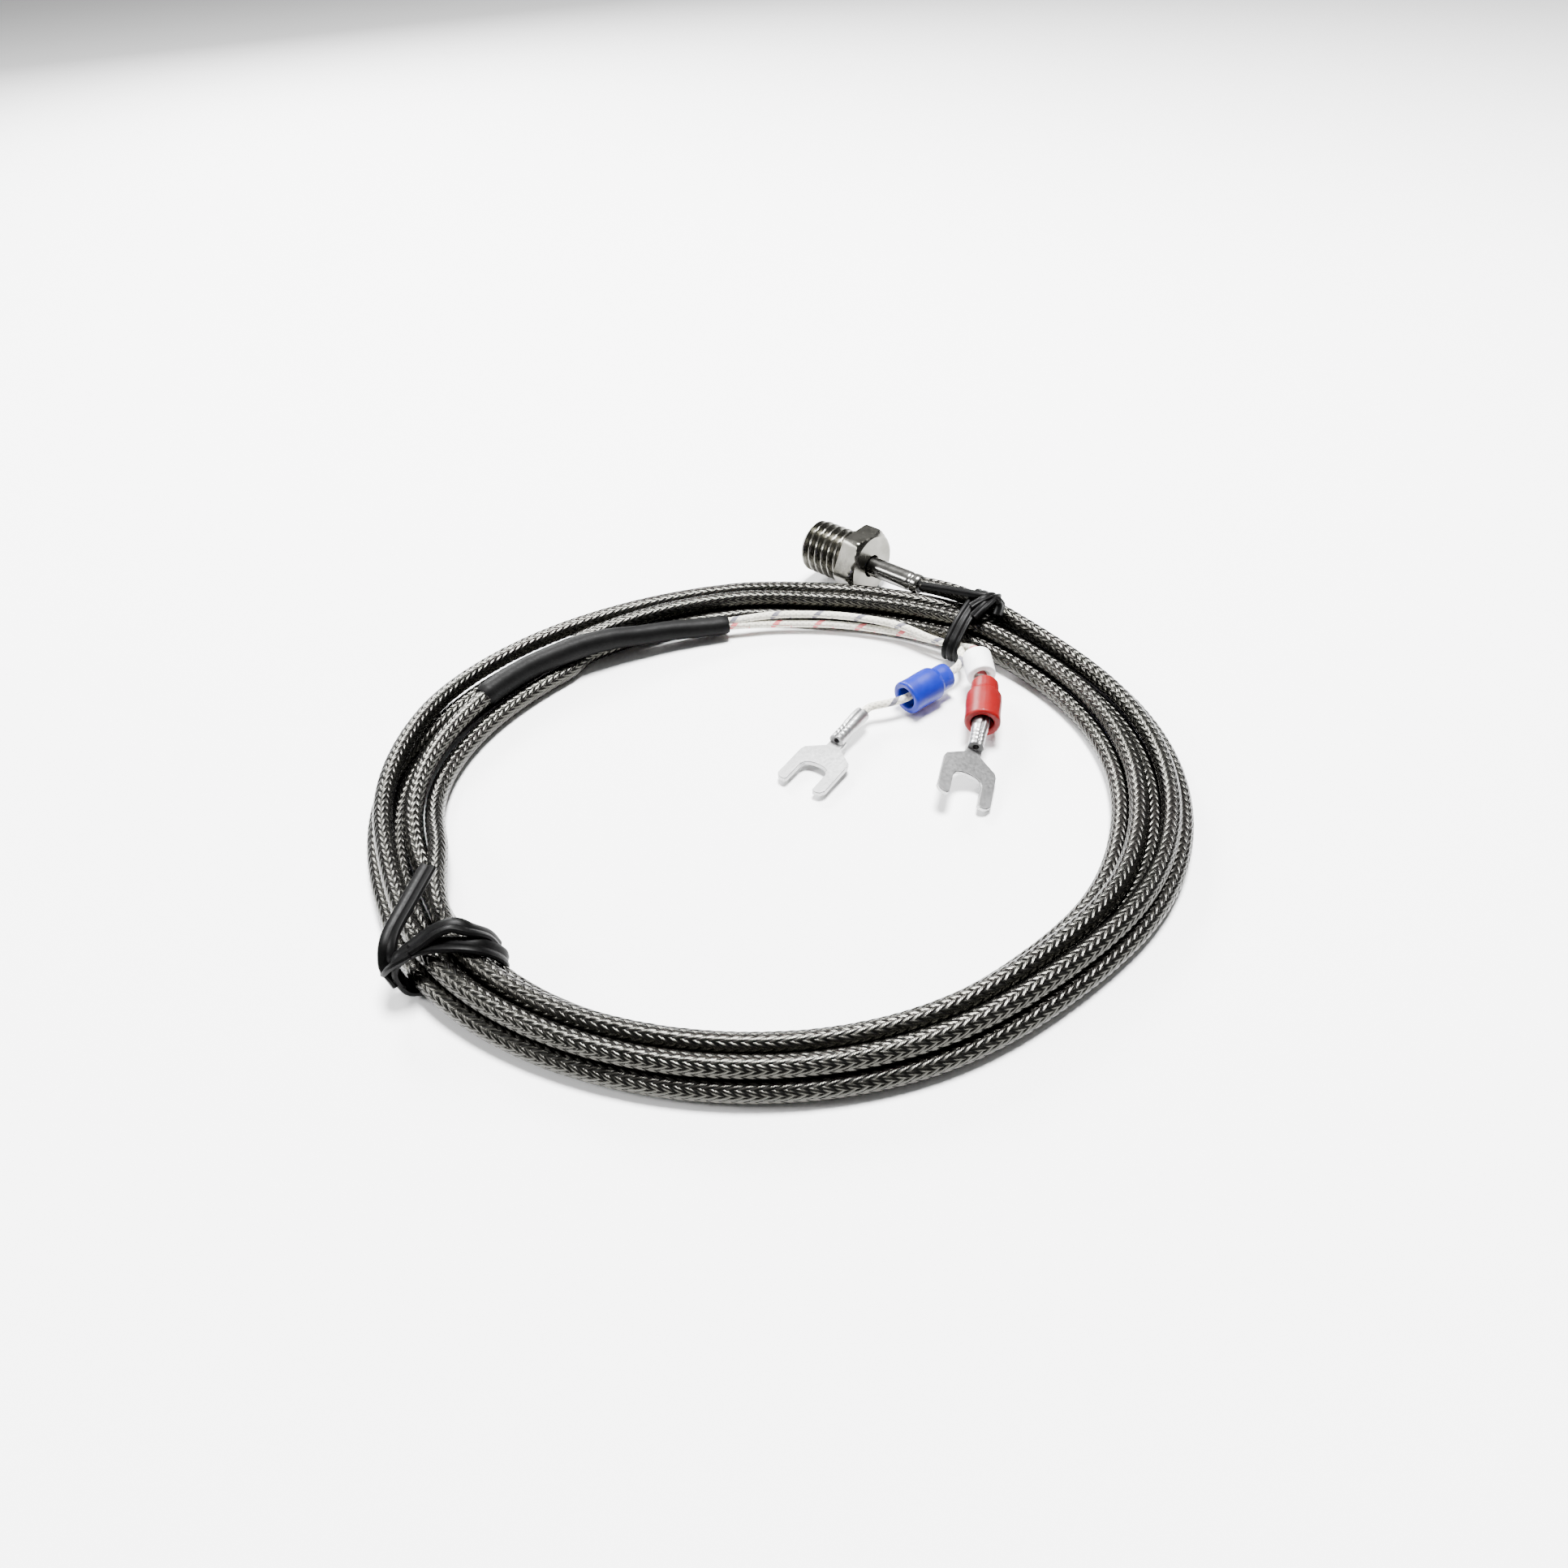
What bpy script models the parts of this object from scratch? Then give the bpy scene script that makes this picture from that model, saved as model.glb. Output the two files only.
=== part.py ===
"""Bolt thermocouple: a threaded probe on a braided cable, wound into one oval ring.

The cable leaves the ring on its far right side for the bolt, and on its far left side it ends in a
heat-shrink sleeve, from which two insulated leads run to fork terminals that lie inside the ring.
Metres, +Z up. z = 0 is the table, and the origin is under the middle of the probe.
Lengths in the constants are millimetres, and places are measured from the middle of the ring.
"""
import math

import bmesh
import bpy
from mathutils import Matrix, Vector

MM = 0.001
GAP = 0.3
PROBE_MIDDLE = (18.6, 60.8)

# ring of cable
RING_CENTRE = (0.2, 4.0)
RING_HALF_WIDTH = 56.3
RING_HALF_DEPTH = 49.0
BUNDLE_WIDTH = 12.0
BUNDLE_HEIGHT = 6.0
BUNDLE_CORNER = 1.2
BACK_INNER = 2.3
NOTCH_OUTER = 1.5
RING_STEP = 5
CABLE_DIAMETER = 3.1

# bolt and probe tube; distances run from the back of the hexagon towards the tip
PROBE_BACK = (20.4, 59.0, 6.0)
PROBE_ANGLE = 137.0
HEX_ACROSS_FLATS = 12.0
HEX_CORNER = HEX_ACROSS_FLATS / math.sqrt(3.0)
HEX_HEIGHT = 4.0
THREAD_LENGTH = 10.0
THREAD_PITCH = 1.5
THREAD_RADIUS = 4.95
THREAD_ROOT_RADIUS = 4.08
THREAD_COLUMNS = 24
RUN_OUT = 0.5
RUN_OUT_RADIUS = 5.0
THREAD_ROWS_PER_PITCH = 6
BOLT_TIP = HEX_HEIGHT + THREAD_LENGTH
BOLT_BORE = 2.1
COUNTERBORE = 3.2
COUNTERBORE_DEPTH = 2.5
TUBE_RADIUS = 1.8
TUBE_BORE = 1.55
TUBE_BACK = -11.3
TUBE_TIP = 13.8
FLANGE_RADIUS = 2.8
FLANGE_BACK = 11.8
FLANGE_THICKNESS = 0.8
THERMO_WIRE_RADIUS = 0.2
INSULATOR_RADIUS = 0.6
INSULATOR_BORE = 0.4
WIRE_SPREAD = 0.72
BEAD_RADIUS = 0.55
BEAD_AT = 11.0

# leads, heat-shrink sleeve and terminals
LEAD_RADIUS = 0.66
SHRINK_RADIUS = 2.2
SHRINK_WALL = 0.45
CONDUCTOR_RADIUS = 0.3
BOOT_LENGTH = 9.6
BOOT_RADIUS = 2.85
BOOT_TAIL_RADIUS = 2.25
BOOT_TAIL_LENGTH = 2.7
BOOT_BORE = 2.0
BOOT_TAIL_BORE = 1.1
SLEEVE_RADIUS = 2.3
SLEEVE_BORE = 1.3
BARREL_LENGTH = 7.8
BARREL_REAR_RADIUS = 1.35
BARREL_FRONT_RADIUS = 1.15
BARREL_REAR_LENGTH = 3.6
BARREL_REAR_BORE = 0.98
BARREL_FRONT_BORE = 0.6
FORK_LENGTH = 11.0
FORK_WIDTH = 8.8
FORK_SLOT = 4.7
FORK_SLOT_START = 5.6
FORK_SHOULDER = 3.1
FORK_NECK = 2.6
FORK_THICKNESS = 0.8
FORK_DROP = 0.95

# ties
TIE_WIDTH = 2.2
TIE_THICKNESS = 0.9
TIE_RIGHT_TURN = 50.0
TIE_LEFT_TURN = -138.3
TIE_GROOVE = 1.8

COLOURS = {
    "nickel": ((0.46, 0.45, 0.43), 0.32, 1.0),
    "stainless": ((0.62, 0.61, 0.59), 0.28, 1.0),
    "braid": ((0.40, 0.40, 0.40), 0.45, 0.9),
    "alloy": ((0.52, 0.50, 0.46), 0.40, 1.0),
    "tin": ((0.72, 0.72, 0.72), 0.30, 1.0),
    "shrink": ((0.02, 0.02, 0.022), 0.45, 0.0),
    "glass_fibre": ((0.86, 0.84, 0.78), 0.80, 0.0),
    "white_sleeve": ((0.90, 0.90, 0.90), 0.60, 0.0),
    "red_boot": ((0.40, 0.015, 0.02), 0.45, 0.0),
    "blue_boot": ((0.02, 0.08, 0.45), 0.45, 0.0),
    "tie": ((0.015, 0.015, 0.016), 0.50, 0.0),
    "cement": ((0.75, 0.72, 0.65), 0.95, 0.0),
}


def clear_scene():
    for item in list(bpy.data.objects):
        bpy.data.objects.remove(item, do_unlink=True)


def collection(name):
    made = bpy.data.collections.new(name)
    bpy.context.scene.collection.children.link(made)
    return made


clear_scene()
PARTS = collection("thermocouple")
CUTTERS = collection("cutters")
MATERIALS = {}


def material(name):
    if name not in MATERIALS:
        made = bpy.data.materials.new(name)
        made.use_nodes = True
        shader = made.node_tree.nodes["Principled BSDF"]
        colour, roughness, metallic = COLOURS[name]
        shader.inputs["Base Color"].default_value = (*colour, 1.0)
        shader.inputs["Roughness"].default_value = roughness
        shader.inputs["Metallic"].default_value = metallic
        MATERIALS[name] = made
    return MATERIALS[name]


# places and directions

def place(x, y, z):
    """A point measured from the middle of the ring, in the part's frame and in metres."""
    return Vector(((x - PROBE_MIDDLE[0]) * MM, (y - PROBE_MIDDLE[1]) * MM, z * MM))


def ring_outward(turn):
    """Level unit vector that points out of the oval ring at this turn (degrees)."""
    angle = math.radians(turn)
    outward = Vector((math.cos(angle) / RING_HALF_WIDTH, math.sin(angle) / RING_HALF_DEPTH, 0.0))
    return outward.normalized()


def ring_point(turn, offset, z):
    """A point beside the ring's oval centre line, offset outward, still in millimetres."""
    angle = math.radians(turn)
    middle = Vector((RING_CENTRE[0] + RING_HALF_WIDTH * math.cos(angle),
                     RING_CENTRE[1] + RING_HALF_DEPTH * math.sin(angle), z))
    return tuple(middle + ring_outward(turn) * offset)


def frame_at(point, direction, roll=0.0):
    """Matrix with local Z along direction, local X level when roll is 0, and its place at point."""
    along = Vector(direction).normalized()
    level = Vector((0.0, 0.0, 1.0)).cross(along).normalized()
    upward = along.cross(level)
    angle = math.radians(roll)
    across = level * math.cos(angle) + upward * math.sin(angle)
    normal = along.cross(across)
    turned = Matrix((across, normal, along)).transposed().to_4x4()
    return Matrix.Translation(place(*point)) @ turned


PROBE_DIRECTION = (math.cos(math.radians(PROBE_ANGLE)), math.sin(math.radians(PROBE_ANGLE)), 0.0)
PROBE_FRAME = frame_at(PROBE_BACK, PROBE_DIRECTION)


def smooth_points(route, spacing):
    """Points about one spacing apart on the smooth curve through the route (millimetres)."""
    ends = [tuple(2 * a - b for a, b in zip(route[0], route[1]))]
    ends += [tuple(2 * a - b for a, b in zip(route[-1], route[-2]))]
    knots = [Vector(p) for p in (ends[0], *route, ends[1])]
    points = []
    for before, start, stop, after in zip(knots, knots[1:], knots[2:], knots[3:]):
        steps = max(1, round((stop - start).length / spacing))
        for step in range(steps):
            t = step / steps
            points.append(0.5 * (2.0 * start + (stop - before) * t
                                 + (2.0 * before - 5.0 * start + 4.0 * stop - after) * t ** 2
                                 + (3.0 * start - before - 3.0 * stop + after) * t ** 3))
    points.append(knots[-2])
    return points


# making objects

def add(name, data, look, where=None, group=PARTS):
    made = bpy.data.objects.new(name, data)
    if where is not None:
        made.matrix_world = where
    if look:
        data.materials.append(material(look))
    group.objects.link(made)
    if group is CUTTERS:
        made.hide_render = True
        made.display_type = "WIRE"
    return made


def mesh_from(build, smooth=True):
    work = bmesh.new()
    build(work)
    data = bpy.data.meshes.new("shape")
    work.to_mesh(data)
    work.free()
    if smooth:
        data.shade_smooth()
        data.set_sharp_from_angle(angle=math.radians(35.0))
    return data


def turned(name, profile, steps, look, where, closed=False, group=PARTS):
    """A turned shape: the profile is (radius, height) in millimetres, down the outer side."""
    data = bpy.data.meshes.new(name)
    count = len(profile)
    edges = [(i, i + 1) for i in range(count - 1)]
    if closed:
        edges.append((count - 1, 0))
    data.from_pydata([(r * MM, 0.0, h * MM) for r, h in profile], edges, [])
    made = add(name, data, look, where, group)
    screw = made.modifiers.new("turn", "SCREW")
    screw.axis = "Z"
    screw.angle = math.tau
    screw.steps = steps
    screw.render_steps = steps
    screw.use_merge_vertices = True
    screw.merge_threshold = 0.00001
    screw.use_smooth_shade = True
    return made


def hollow(outer, bore, low, high):
    """Profile of a plain sleeve."""
    return [(outer, high), (outer, low), (bore, low), (bore, high)]


def solid(outer, low, high):
    """Profile of a plain rod."""
    return [(0.0, high), (outer, high), (outer, low), (0.0, low)]


def rod_curve(name, points, radius, look, group=PARTS, caps=True, resolution=2):
    """A round rod or tube along points given in millimetres from the middle of the ring."""
    data = bpy.data.curves.new(name, "CURVE")
    data.dimensions = "3D"
    data.bevel_depth = radius * MM
    data.bevel_resolution = resolution
    data.use_fill_caps = caps
    spline = data.splines.new("POLY")
    spline.points.add(len(points) - 1)
    for control, point in zip(spline.points, points):
        control.co = (*place(*point), 1.0)
    spline.use_smooth = True
    return add(name, data, look, None, group)


def curve_to_mesh(source, weld=True):
    """Replace a curve object by a welded mesh, so that it can be cut or can cut another."""
    bpy.context.view_layer.update()
    graph = bpy.context.evaluated_depsgraph_get()
    data = bpy.data.meshes.new_from_object(source.evaluated_get(graph))
    if weld:
        work = bmesh.new()
        work.from_mesh(data)
        bmesh.ops.remove_doubles(work, verts=work.verts, dist=0.000001)
        work.to_mesh(data)
        work.free()
    name = source.name
    group = source.users_collection[0]
    where = source.matrix_world.copy()
    bpy.data.objects.remove(source, do_unlink=True)
    data.name = name
    made = bpy.data.objects.new(name, data)
    made.matrix_world = where
    group.objects.link(made)
    if group is CUTTERS:
        made.hide_render = True
        made.display_type = "WIRE"
    return made


def combine(target, other, operation):
    step = target.modifiers.new(operation.lower(), "BOOLEAN")
    step.operation = operation
    step.solver = "EXACT"
    step.object = other


def block(name, size, where, group=CUTTERS, look=None):
    def build(work):
        bmesh.ops.create_cube(work, size=1.0)
        bmesh.ops.scale(work, vec=[side * MM for side in size], verts=work.verts)
    return add(name, mesh_from(build, smooth=False), look, where, group)


# probe

def thread_height(x, z):
    """Share of the thread's depth at a turn x (0 to 1) and a height z: 0 crest, 1 root."""
    phase = (z / THREAD_PITCH - x) % 1.0
    slope = abs(2.0 * phase - 1.0)
    return min(1.0, max(0.0, 1.4 * slope - 0.2))


def thread_radius(x, z):
    depth = THREAD_RADIUS - THREAD_ROOT_RADIUS
    radius = THREAD_RADIUS - depth * thread_height(x, z)
    tip_chamfer = THREAD_ROOT_RADIUS - 0.2 + (THREAD_LENGTH - z)
    run_out = THREAD_ROOT_RADIUS + max(0.0, z - 0.5)
    return min(radius, tip_chamfer, run_out)


def thread_solid(work):
    """Closed helical thread from a plain collar under the hexagon to the tip."""
    rows = round(THREAD_LENGTH / THREAD_PITCH * THREAD_ROWS_PER_PITCH)
    rings = []
    heights = [-0.6] + [THREAD_LENGTH * row / rows for row in range(rows + 1)]
    for z in heights:
        ring = []
        for column in range(THREAD_COLUMNS):
            x = column / THREAD_COLUMNS
            radius = (RUN_OUT_RADIUS if z <= RUN_OUT else thread_radius(x, z)) * MM
            angle = math.tau * x
            ring.append(work.verts.new((radius * math.cos(angle), radius * math.sin(angle),
                                        (HEX_HEIGHT + z) * MM)))
        rings.append(ring)
    for low, high in zip(rings, rings[1:]):
        for i in range(THREAD_COLUMNS):
            j = (i + 1) % THREAD_COLUMNS
            work.faces.new((low[i], low[j], high[j], high[i]))
    work.faces.new(rings[-1])
    work.faces.new(list(reversed(rings[0])))


def hexagon(work):
    """Hexagonal prism with two corners level with the axis, so that a flat faces straight up."""
    layers = []
    for distance in (0.0, HEX_HEIGHT):
        corners = []
        for corner in range(6):
            angle = math.radians(60.0 * corner)
            point = (HEX_CORNER * math.cos(angle), HEX_CORNER * math.sin(angle), distance)
            corners.append(work.verts.new(Vector(point) * MM))
        layers.append(corners)
    back, front = layers
    work.faces.new(back[::-1])
    work.faces.new(front)
    for corner in range(6):
        after = (corner + 1) % 6
        work.faces.new((back[corner], back[after], front[after], front[corner]))


def make_bolt():
    bolt = add("probe_bolt", mesh_from(hexagon, smooth=False), "nickel", PROBE_FRAME)
    thread = add("thread", mesh_from(thread_solid), "nickel", PROBE_FRAME, CUTTERS)
    flat = HEX_ACROSS_FLATS / 2
    chamfer = [(0.0, BOLT_TIP + 1), (HEX_CORNER + 1, BOLT_TIP + 1), (HEX_CORNER + 1, 0.75),
               (flat - 0.3, 0.0), (flat - 0.3, -1.0), (0.0, -1.0)]
    bore = [(0.0, BOLT_TIP + 1), (COUNTERBORE, BOLT_TIP + 1),
            (COUNTERBORE, BOLT_TIP - COUNTERBORE_DEPTH),
            (BOLT_BORE, BOLT_TIP - COUNTERBORE_DEPTH), (BOLT_BORE, -1.0), (0.0, -1.0)]
    combine(bolt, turned("head_chamfer", chamfer, 48, None, PROBE_FRAME, group=CUTTERS), "INTERSECT")
    combine(bolt, thread, "UNION")
    combine(bolt, turned("bolt_bore", bore, 24, None, PROBE_FRAME, group=CUTTERS), "DIFFERENCE")


def make_tube():
    profile = [(TUBE_RADIUS, TUBE_TIP), (TUBE_RADIUS, FLANGE_BACK + FLANGE_THICKNESS),
               (FLANGE_RADIUS, FLANGE_BACK + FLANGE_THICKNESS), (FLANGE_RADIUS, FLANGE_BACK),
               (TUBE_RADIUS, FLANGE_BACK), (TUBE_RADIUS, TUBE_BACK + 0.6),
               (TUBE_RADIUS - 0.08, TUBE_BACK + 0.2), (TUBE_RADIUS - 0.2, TUBE_BACK),
               (TUBE_BORE, TUBE_BACK), (TUBE_BORE, TUBE_TIP)]
    turned("probe_tube", profile, 24, "stainless", PROBE_FRAME, closed=True)
    turned("tip_plug", solid(TUBE_BORE - GAP, TUBE_TIP - 1.2, TUBE_TIP - 0.1), 16, "stainless",
           PROBE_FRAME)
    turned("cable_end_in_tube", solid(TUBE_BORE - GAP, TUBE_BACK + 0.1, -0.2), 16, "braid",
           PROBE_FRAME)


def make_junction():
    def bead(work):
        bmesh.ops.create_uvsphere(work, u_segments=12, v_segments=8, radius=BEAD_RADIUS * MM)
    add("junction_bead", mesh_from(bead), "alloy",
        PROBE_FRAME @ Matrix.Translation((0.0, 0.0, BEAD_AT * MM)))
    cup_floor = BEAD_AT + BEAD_RADIUS + GAP
    cup = [(0.0, cup_floor + 0.4), (TUBE_BORE - GAP, cup_floor + 0.4), (TUBE_BORE - GAP, 9.0),
           (0.98, 9.0), (0.98, cup_floor), (0.0, cup_floor)]
    turned("junction_cement", cup, 16, "cement", PROBE_FRAME)
    for side, sign in (("positive", 1.0), ("negative", -1.0)):
        shift = Matrix.Translation((sign * WIRE_SPREAD * MM, 0.0, 0.0))
        turned("insulator_" + side, hollow(INSULATOR_RADIUS, INSULATOR_BORE, 0.3, 8.2), 12,
               "glass_fibre", PROBE_FRAME @ shift, closed=True)
        local = [(sign * WIRE_SPREAD, 0.3), (sign * WIRE_SPREAD, 4.0), (sign * WIRE_SPREAD, 8.2),
                 (sign * 0.55, 9.4), (sign * 0.3, 10.25)]
        level = Vector((0.0, 0.0, 1.0)).cross(Vector(PROBE_DIRECTION))
        points = [Vector(PROBE_BACK) + level * across + Vector(PROBE_DIRECTION) * along
                  for across, along in local]
        rod_curve("thermo_wire_" + side, points, THERMO_WIRE_RADIUS, "alloy", resolution=1)


# ring of cable

def rounded_rectangle(inner, outer, low, high, corner):
    """Section outline as (offset, height), with a short arc at each corner."""
    middles = [(outer - corner, high - corner, 90.0), (outer - corner, low + corner, 0.0),
               (inner + corner, low + corner, -90.0), (inner + corner, high - corner, 180.0)]
    outline = []
    for x, z, start in middles:
        for step in range(4):
            angle = math.radians(start - 30.0 * step)
            outline.append((x + corner * math.cos(angle), z + corner * math.sin(angle)))
    return outline


def between(turn, start, stop, ramp):
    """1 between two turns, 0 away from them, with a straight ramp outside each."""
    rise = (turn - start + ramp) / ramp
    fall = (stop + ramp - turn) / ramp
    return max(0.0, min(1.0, rise, fall))


def bundle_section(turn):
    """Inner and outer offset, and lowest and highest point, of the wound bundle."""
    half = BUNDLE_WIDTH / 2
    inner = -half + (half - BACK_INNER) * between(turn, 46.0, 157.0, 8.0)
    outer = half - (half - NOTCH_OUTER) * between(turn, 53.0, 88.0, 9.0)
    low = 0.0
    for tie in (TIE_RIGHT_TURN, TIE_LEFT_TURN % 360.0):
        if abs(turn - tie) < TIE_GROOVE:
            inner = max(inner, -half + 0.5)
            outer = min(outer, half - 0.5)
            low = 1.5
    return inner, outer, low, BUNDLE_HEIGHT


def make_ring():
    """The wound cable as one plain solid: narrower where the sleeve, leads and bolt lie."""
    turns = set(range(0, 360, RING_STEP))
    for tie in (TIE_RIGHT_TURN, TIE_LEFT_TURN % 360.0):
        turns -= {turn for turn in turns if abs(turn - tie) < TIE_GROOVE + 0.5}
        turns |= {tie - TIE_GROOVE - 0.2, tie - TIE_GROOVE + 0.01, tie + TIE_GROOVE - 0.01,
                  tie + TIE_GROOVE + 0.2}

    def loft(work):
        sections = []
        for turn in sorted(turns):
            outline = rounded_rectangle(*bundle_section(turn), BUNDLE_CORNER)
            sections.append([work.verts.new(place(*ring_point(turn, offset, z)))
                             for offset, z in outline])
        for near, far in zip(sections, sections[1:] + sections[:1]):
            for i in range(len(near)):
                j = (i + 1) % len(near)
                work.faces.new((near[i], near[j], far[j], far[i]))
        bmesh.ops.recalc_face_normals(work, faces=work.faces)

    add("cable_coil", mesh_from(loft), "braid")


def frame_round_ring(turn):
    """Matrix at the ring's centre line and on the table: X outward, Y along the ring, Z up."""
    outward = ring_outward(turn)
    spot = place(*ring_point(turn, 0.0, 0.0))
    return Matrix.Translation(spot) @ Matrix.Rotation(math.atan2(outward.y, outward.x), 4, "Z")


def strap_loop(name, inner, outer, width, where, look, group):
    """A loop of flat strap: inner and outer are (low offset, high offset, low z, high z)."""
    def box(work, bounds, depth):
        low_x, high_x, low_z, high_z = [value * MM for value in bounds]
        made = bmesh.ops.create_cube(work, size=1.0)["verts"]
        bmesh.ops.scale(work, vec=(high_x - low_x, depth * MM, high_z - low_z), verts=made)
        bmesh.ops.translate(work, vec=((low_x + high_x) / 2, 0.0, (low_z + high_z) / 2), verts=made)
    loop = add(name, mesh_from(lambda work: box(work, outer, width), False), look, where, group)
    hole = mesh_from(lambda work: box(work, inner, width + 2.0), False)
    combine(loop, add(name + "_hole", hole, None, where, CUTTERS), "DIFFERENCE")
    return loop


def grow(bounds, amount):
    low_x, high_x, low_z, high_z = bounds
    return (low_x - amount, high_x + amount, low_z - amount, high_z + amount)


def make_tie(name, turn, outer, knot_at, knot_size, tail_from, tail_to):
    """One twist tie: a loop round the bundle, the twisted knot and the free tail on the ring.

    The knot is placed in the loop's own frame; the tail by its two ends.
    """
    where = frame_round_ring(turn)
    inner = grow(outer, -TIE_THICKNESS)
    tie = strap_loop(name, inner, outer, TIE_WIDTH, where, "tie", PARTS)
    knot_place = Matrix.Translation(Vector(knot_at) * MM)
    knot = block(name + "_knot", knot_size, where @ knot_place)
    combine(tie, knot, "UNION")
    start = Vector(tail_from)
    stop = Vector(tail_to)
    along = stop - start
    tail = block(name + "_tail", (TIE_WIDTH, TIE_THICKNESS, along.length),
                 frame_at(tuple((start + stop) / 2), tuple(along)))
    combine(tie, tail, "UNION")


# leads and terminals

HEAT_SHRINK_ROUTE = [ring_point(turn, -4.9, 2.4) for turn in (152.0, 140.0, 128.0, 116.0, 104.0, 93.0)]
LEAD_IN_ROUTE = [(28.9, 51.1, 6.0), (30.6, 49.7, 5.8), (32.4, 48.4, 5.4)]
POSITIVE_ROUTE = [ring_point(100.0, -5.1, 1.7), ring_point(88.0, -5.1, 1.6),
                  ring_point(76.0, -5.1, 1.6), ring_point(64.0, -5.3, 1.7),
                  ring_point(55.0, -5.7, 2.0), ring_point(49.0, -6.0, 2.6),
                  (35.2, 33.4, 4.0), (35.5, 31.2, 5.0), (35.2, 29.1, 5.5), (35.1, 26.2, 5.2),
                  (35.2, 23.6, 4.8), (34.95, 20.0, 4.5), (34.35, 17.2, 4.2), (33.82, 14.9, 4.05),
                  (33.37, 13.5, 3.97), (32.95, 12.1, 3.9)]
NEGATIVE_ROUTE = [ring_point(100.0, -4.5, 3.2), ring_point(88.0, -4.4, 3.1),
                  ring_point(76.0, -4.5, 3.2), ring_point(64.0, -5.3, 3.3),
                  ring_point(55.0, -6.9, 3.1), ring_point(49.0, -7.3, 3.3),
                  (33.3, 33.0, 3.5), (33.1, 31.0, 3.4), (32.0, 29.2, 3.2), (29.8, 27.4, 3.0),
                  (26.0, 24.5, 3.0), (22.2, 21.7, 3.0), (18.9, 20.7, 2.9), (16.4, 20.2, 2.8),
                  (14.9, 18.8, 2.6), (14.0, 17.6, 2.5), (13.2, 16.5, 2.42)]
RED_BOOT_TAIL = (35.42, 22.2, 4.62)
RED_BOOT_DIRECTION = (-0.211, -0.975, -0.07)
BLUE_BOOT_TAIL = (29.95, 27.52, 3.0)
BLUE_BOOT_DIRECTION = (-0.795, -0.607, 0.0)
POSITIVE_BARREL = (33.82, 14.9, 4.05)
POSITIVE_DIRECTION = (-0.30, -0.954, -0.05)
POSITIVE_ROLL = -23.0
NEGATIVE_BARREL = (14.9, 18.8, 2.6)
NEGATIVE_DIRECTION = (-0.6, -0.8, -0.04)
SLEEVE_START = (35.1, 29.0, 5.5)
SLEEVE_END = (35.18, 23.7, 4.82)


def make_heat_shrink():
    points = smooth_points(HEAT_SHRINK_ROUTE, 5.0)
    skin = rod_curve("heat_shrink", points, SHRINK_RADIUS, None, caps=False, resolution=3)
    sleeve = curve_to_mesh(skin)
    sleeve.data.materials.append(material("shrink"))
    wall = sleeve.modifiers.new("wall", "SOLIDIFY")
    wall.thickness = SHRINK_WALL * MM
    wall.offset = -1.0
    inside = smooth_points(HEAT_SHRINK_ROUTE[:2], 3.0)
    rod_curve("cable_end_in_sleeve", inside[:4], 1.3, "braid")


def make_boot(name, tail, direction, look):
    """Soft insulating boot: a narrow ring at the tail, then the body with its open mouth."""
    profile = [(BOOT_RADIUS - 0.25, BOOT_LENGTH), (BOOT_RADIUS, BOOT_LENGTH - 0.35),
               (BOOT_RADIUS, BOOT_TAIL_LENGTH + 0.6), (BOOT_TAIL_RADIUS, BOOT_TAIL_LENGTH),
               (BOOT_TAIL_RADIUS, 0.2), (BOOT_TAIL_RADIUS - 0.2, 0.0), (BOOT_TAIL_BORE, 0.0),
               (BOOT_TAIL_BORE, BOOT_TAIL_LENGTH), (BOOT_BORE, BOOT_TAIL_LENGTH + 0.9),
               (BOOT_BORE, BOOT_LENGTH)]
    turned(name, profile, 24, look, frame_at(tail, direction), closed=True)


def fork_outline():
    """One half of the flat fork, from the neck to the tip and back along the slot."""
    half = FORK_WIDTH / 2
    slot = FORK_SLOT / 2
    return [(FORK_NECK / 2, -1.2), (FORK_NECK / 2, 0.9), (half - 1.0, FORK_SHOULDER - 0.7),
            (half - 0.3, FORK_SHOULDER - 0.2), (half, FORK_SHOULDER + 0.6),
            (half, FORK_LENGTH - 0.9), (half - 0.5, FORK_LENGTH - 0.2), (half - 1.0, FORK_LENGTH),
            (slot + 0.3, FORK_LENGTH), (slot, FORK_LENGTH - 0.4), (slot, FORK_SLOT_START + 0.7),
            (slot - 0.7, FORK_SLOT_START)]


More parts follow.
